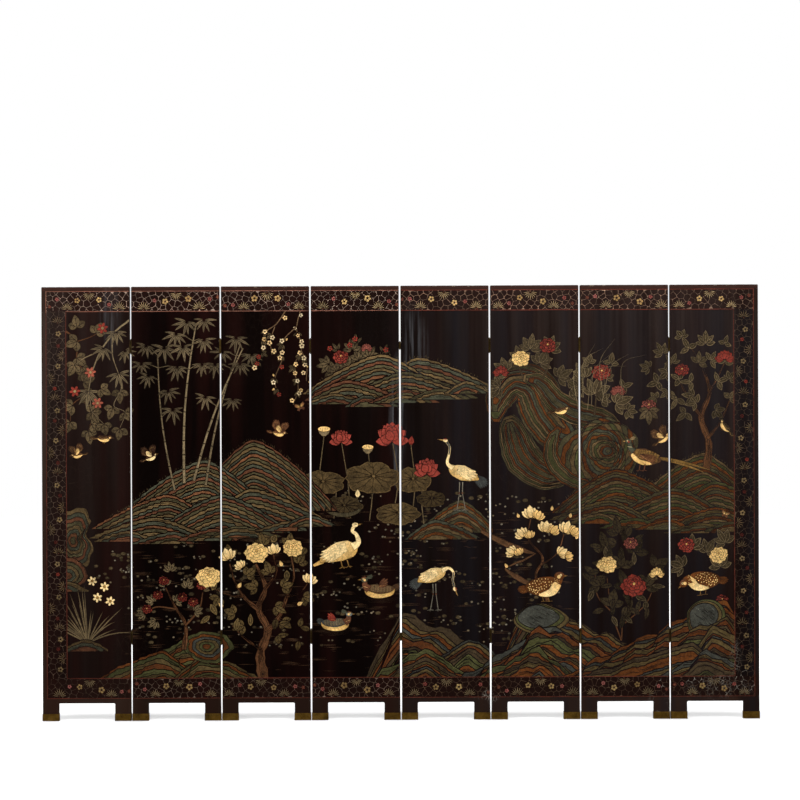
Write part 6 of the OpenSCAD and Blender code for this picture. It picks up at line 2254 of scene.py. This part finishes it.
def board(n, mats):
    """The lacquered body of a leaf behind its carved skin: rounded arrises, a little worn and chipped."""
    rng = np.random.default_rng(700 + n)
    step = 9.0
    base = outline(0.0, step)
    rings = []
    m = len(base)
    x0 = left_x(n)
    # each ring is the outline drawn in by its inset: the same number of points all round
    inner = offset(ccw(base), -1.0)
    nrm = base - inner
    L = np.linalg.norm(nrm, axis=1, keepdims=True)
    nrm = nrm / np.maximum(L, 1e-9) * np.clip(L, 0.5, 1.5)
    # chips: short dents in the arrises, more of them along the top edge
    chip = np.zeros((m, 2))
    for side in (0, 1):
        for _ in range(26):
            k = rng.integers(0, m)
            top = base[k, 1] > LEAF_H - 6
            chip[k, side] = rng.uniform(0.25, 0.9) * (1.6 if top else 0.7)
        tops = np.flatnonzero(base[:, 1] > LEAF_H - 3)
        for k in rng.choice(tops, 9, replace=False):
            chip[k, side] = rng.uniform(0.6, 1.4)
    drift = 0.10 * np.sin(np.arange(m) * 0.11 + rng.uniform(0, 6)) + rng.uniform(-0.05, 0.05, m)
    V = []
    for j, (ins, y) in enumerate(RINGS, -1):
        P = base - nrm * ins
        yy = np.full(m, y)
        if 1 <= j <= 6:
            wear = chip[:, 0 if y > 0 else 1]
            k = {1: 0.45, 2: 0.8, 3: 0.35, 4: 0.35, 5: 0.8, 6: 0.45}[j]
            P = P - nrm * (wear * k + 0.12 + drift * 0.6)[:, None]
            yy = yy - np.sign(y) * wear * (0.5 if j in (2, 5) else 0.25 if j in (1, 6) else 0.1)
        P[:, 1] = np.maximum(P[:, 1], 0.02)
        V.append(np.stack([P[:, 0] + x0 - HALF, yy, P[:, 1]], 1))
    V = np.vstack(V) / 1000
    F, mi = [], []
    for j in range(len(RINGS) - 1):
        for k in range(m):
            q = (k + 1) % m
            F.append([j * m + k, j * m + q, (j + 1) * m + q, (j + 1) * m + k])
            mi.append(0)
    F.append(list(range(m - 1, -1, -1)))
    mi.append(0)
    last = (len(RINGS) - 1) * m
    F.append([last + k for k in range(m)])
    mi.append(0)
    F = [f[::-1] for f in F]
    nl = sum(len(f) for f in F)
    tint = np.ones((nl, 4))
    tint[:, :3] = PAL["margin"]
    return mesh_object(f"panel_{n}_board", V, F, mats, mi, tint)


def join(a, b):
    """Take piece b's mesh into piece a."""
    with bpy.context.temp_override(active_object=a, object=a, selected_objects=[a, b], selected_editable_objects=[a, b]):
        bpy.ops.object.join()
    return a


# ---------------------------------------------------------------------------------------------------------------------
# Make it
# ---------------------------------------------------------------------------------------------------------------------
PAL.update({k: lin(v) for k, v in dict(ground="#150906", margin="#2f1f17", clay="#8b7a5c").items()})
PAL["ink"] = PAL["ground"]

FRONT_MATS = [lacquer_front(), fill("colour_fill"), fill("gilt_fill", 0.5, 0.45, 0.25, 1.1), fill("red_line_fill", 0.55, 0.5)]
EDGE = lacquer_edge()
BACK_MATS = [lacquer_front(plain=True)] + FRONT_MATS[1:]
BRASS = brass("shoe_metal", "#4a3410", "#83601f", "#a58036")
HINGE = brass("hinge_metal", "#33260f", "#5e4a22", "#8a6f38", 0.38, 0.6)
SCREW = brass("screw_metal", "#33280f", "#6d5728", "#9a8048", 0.36, 0.5)
WOOD = wood("core_wood_grain")

FIELD = compose()
for n in range(1, LEAVES + 1):
    a, b = left_x(n), left_x(n) + LEAF_W
    inside = [s for s in FIELD if s[0][:, 0].max() > a and s[0][:, 0].min() < b and s[0][:, 1].max() > BOT_IN - 4 and s[0][:, 1].min() < TOP_IN + 4]
    # the field's own ground, then the pictures, then the margins and bands over them
    shapes = inside + frame_art(n)
    ob, nt, nf = carve(n, shapes, FRONT_MATS, f"panel_{n}_front")
    print(f"leaf {n}: {len(shapes)} shapes, {nt} triangles, {nf} faces")
    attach(ob, f"panel_{n}")
    back, _, _ = carve(n, back_art(n), BACK_MATS, f"panel_{n}_back", turned=True)
    bd = join(board(n, [EDGE]), back)
    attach(bd, f"panel_{n}")
    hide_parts(f"panel_{n}_lacquer")
    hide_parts(f"panel_{n}_lacquer")

for o in bpy.data.objects:
    if o.type != "MESH" or o.name.endswith(("_front", "_board")):
        continue
    mat = None
    if o.name.endswith("_shoes"):
        mat = BRASS
    elif o.name.endswith("_hinge_leaves") or o.name.startswith("hinge_pins"):
        mat = HINGE
    elif o.name.endswith("_fixings"):
        mat = SCREW
    elif o.name.endswith(("_stiles", "_core")):
        mat = WOOD
    if mat is not None:
        if not o.material_slots:
            o.data.materials.append(mat)
        for s in o.material_slots:
            s.material = mat

# ---- the floor, the light and the camera ----------------------------------------------------------------------------
fm = floor_mat()
fl = mesh_object("floor", [(-14, -14, 0), (14, -14, 0), (14, 14, 0), (-14, 14, 0)], [[0, 1, 2, 3]], [fm])
# the floor is lit for the camera alone, so it lays no glare on the lacquer
fl.visible_diffuse = False
fl.visible_glossy = False

scene = bpy.context.scene
scene.view_settings.view_transform = "Standard"
scene.view_settings.look = "None"
world = bpy.data.worlds.new("studio")
scene.world = world
world.use_nodes = True
wt = world.node_tree
wt.nodes.clear()
wo = wt.nodes.new("ShaderNodeOutputWorld")
lp = wt.nodes.new("ShaderNodeLightPath")
bg_cam, bg_soft, bg_gloss = (wt.nodes.new("ShaderNodeBackground") for _ in range(3))
for b_, v in ((bg_cam, 1.0), (bg_soft, 1.0), (bg_gloss, 1.0)):
    b_.inputs[0].default_value, b_.inputs[1].default_value = (1, 1, 1, 1), v
# the room: bright overhead, dim at eye level, dark below
wc = wt.nodes.new("ShaderNodeTexCoord")
ws = wt.nodes.new("ShaderNodeSeparateXYZ")
wt.links.new(wc.outputs["Generated"], ws.inputs[0])


def room(stops, to):
    r = wt.nodes.new("ShaderNodeMapRange")
    r.inputs["From Min"].default_value, r.inputs["From Max"].default_value = -1.0, 1.0
    wt.links.new(ws.outputs[2], r.inputs[0])
    c = wt.nodes.new("ShaderNodeValToRGB")
    while len(c.color_ramp.elements) < len(stops):
        c.color_ramp.elements.new(0.5)
    for e, (q, v) in zip(c.color_ramp.elements, stops):
        e.position, e.color = q, (v, v, v, 1)
    wt.links.new(r.outputs[0], c.inputs[0])
    wt.links.new(c.outputs[0], to.inputs[0])


room([(0.0, 0.25), (0.45, 0.30), (0.55, 0.55), (0.75, 0.95), (1.0, 1.0)], bg_soft)
room([(0.0, 0.004), (0.54, 0.004), (0.64, 0.03), (0.8, 0.3), (1.0, 0.9)], bg_gloss)
m1, m2 = wt.nodes.new("ShaderNodeMixShader"), wt.nodes.new("ShaderNodeMixShader")
wt.links.new(lp.outputs["Is Glossy Ray"], m1.inputs[0])
wt.links.new(bg_soft.outputs[0], m1.inputs[1])
wt.links.new(bg_gloss.outputs[0], m1.inputs[2])
wt.links.new(lp.outputs["Is Camera Ray"], m2.inputs[0])
wt.links.new(m1.outputs[0], m2.inputs[1])
wt.links.new(bg_cam.outputs[0], m2.inputs[2])
wt.links.new(m2.outputs[0], wo.inputs[0])


def area_light(name, loc, aim, size, energy, colour=(1, 1, 1), sy=None, shiny=False):
    d = bpy.data.lights.new(name, "AREA")
    d.shape = "RECTANGLE"
    d.size, d.size_y = size, sy or size
    d.energy = energy
    d.color = colour
    o = bpy.data.objects.new(name, d)
    o.location = loc
    o.rotation_euler = (Vector(aim) - Vector(loc)).to_track_quat("-Z", "Y").to_euler()
    scene.collection.objects.link(o)
    # polished lacquer would mirror the lamps as pale patches; in the studio they are flagged off
    o.visible_glossy = shiny
    return o


area_light("front_top", (0, -2.5, 3.5), (0, 0, 1.75), 4.2, 62, sy=0.9)
area_light("key_left", (-3.6, -3.4, 3.6), (-0.6, 0, 1.2), 1.6, 42)
area_light("key_right", (3.6, -3.4, 3.6), (0.6, 0, 1.2), 1.6, 30)
area_light("over", (0, -1.2, 6.0), (0, -0.8, 0), 6.0, 190, sy=4.0)
area_light("behind", (0, 5.0, 5.0), (0, 0.6, 0), 5.0, 190, sy=3.0, shiny=True)

cam_d = bpy.data.cameras.new("camera")
cam = bpy.data.objects.new("camera", cam_d)
scene.collection.objects.link(cam)
cam_d.sensor_width = 36.0
cam_d.sensor_fit = "HORIZONTAL"
cam_d.lens = 85.4
cam_d.clip_start, cam_d.clip_end = 0.1, 80.0
CAM_Y, CAM_Z, ROLL = -8.011, 1.348, 0.23
cam.location = (0.0, CAM_Y, CAM_Z)
cam.rotation_euler = (math.radians(90), math.radians(ROLL), 0.0)
cam_d.dof.use_dof = False
scene.camera = cam
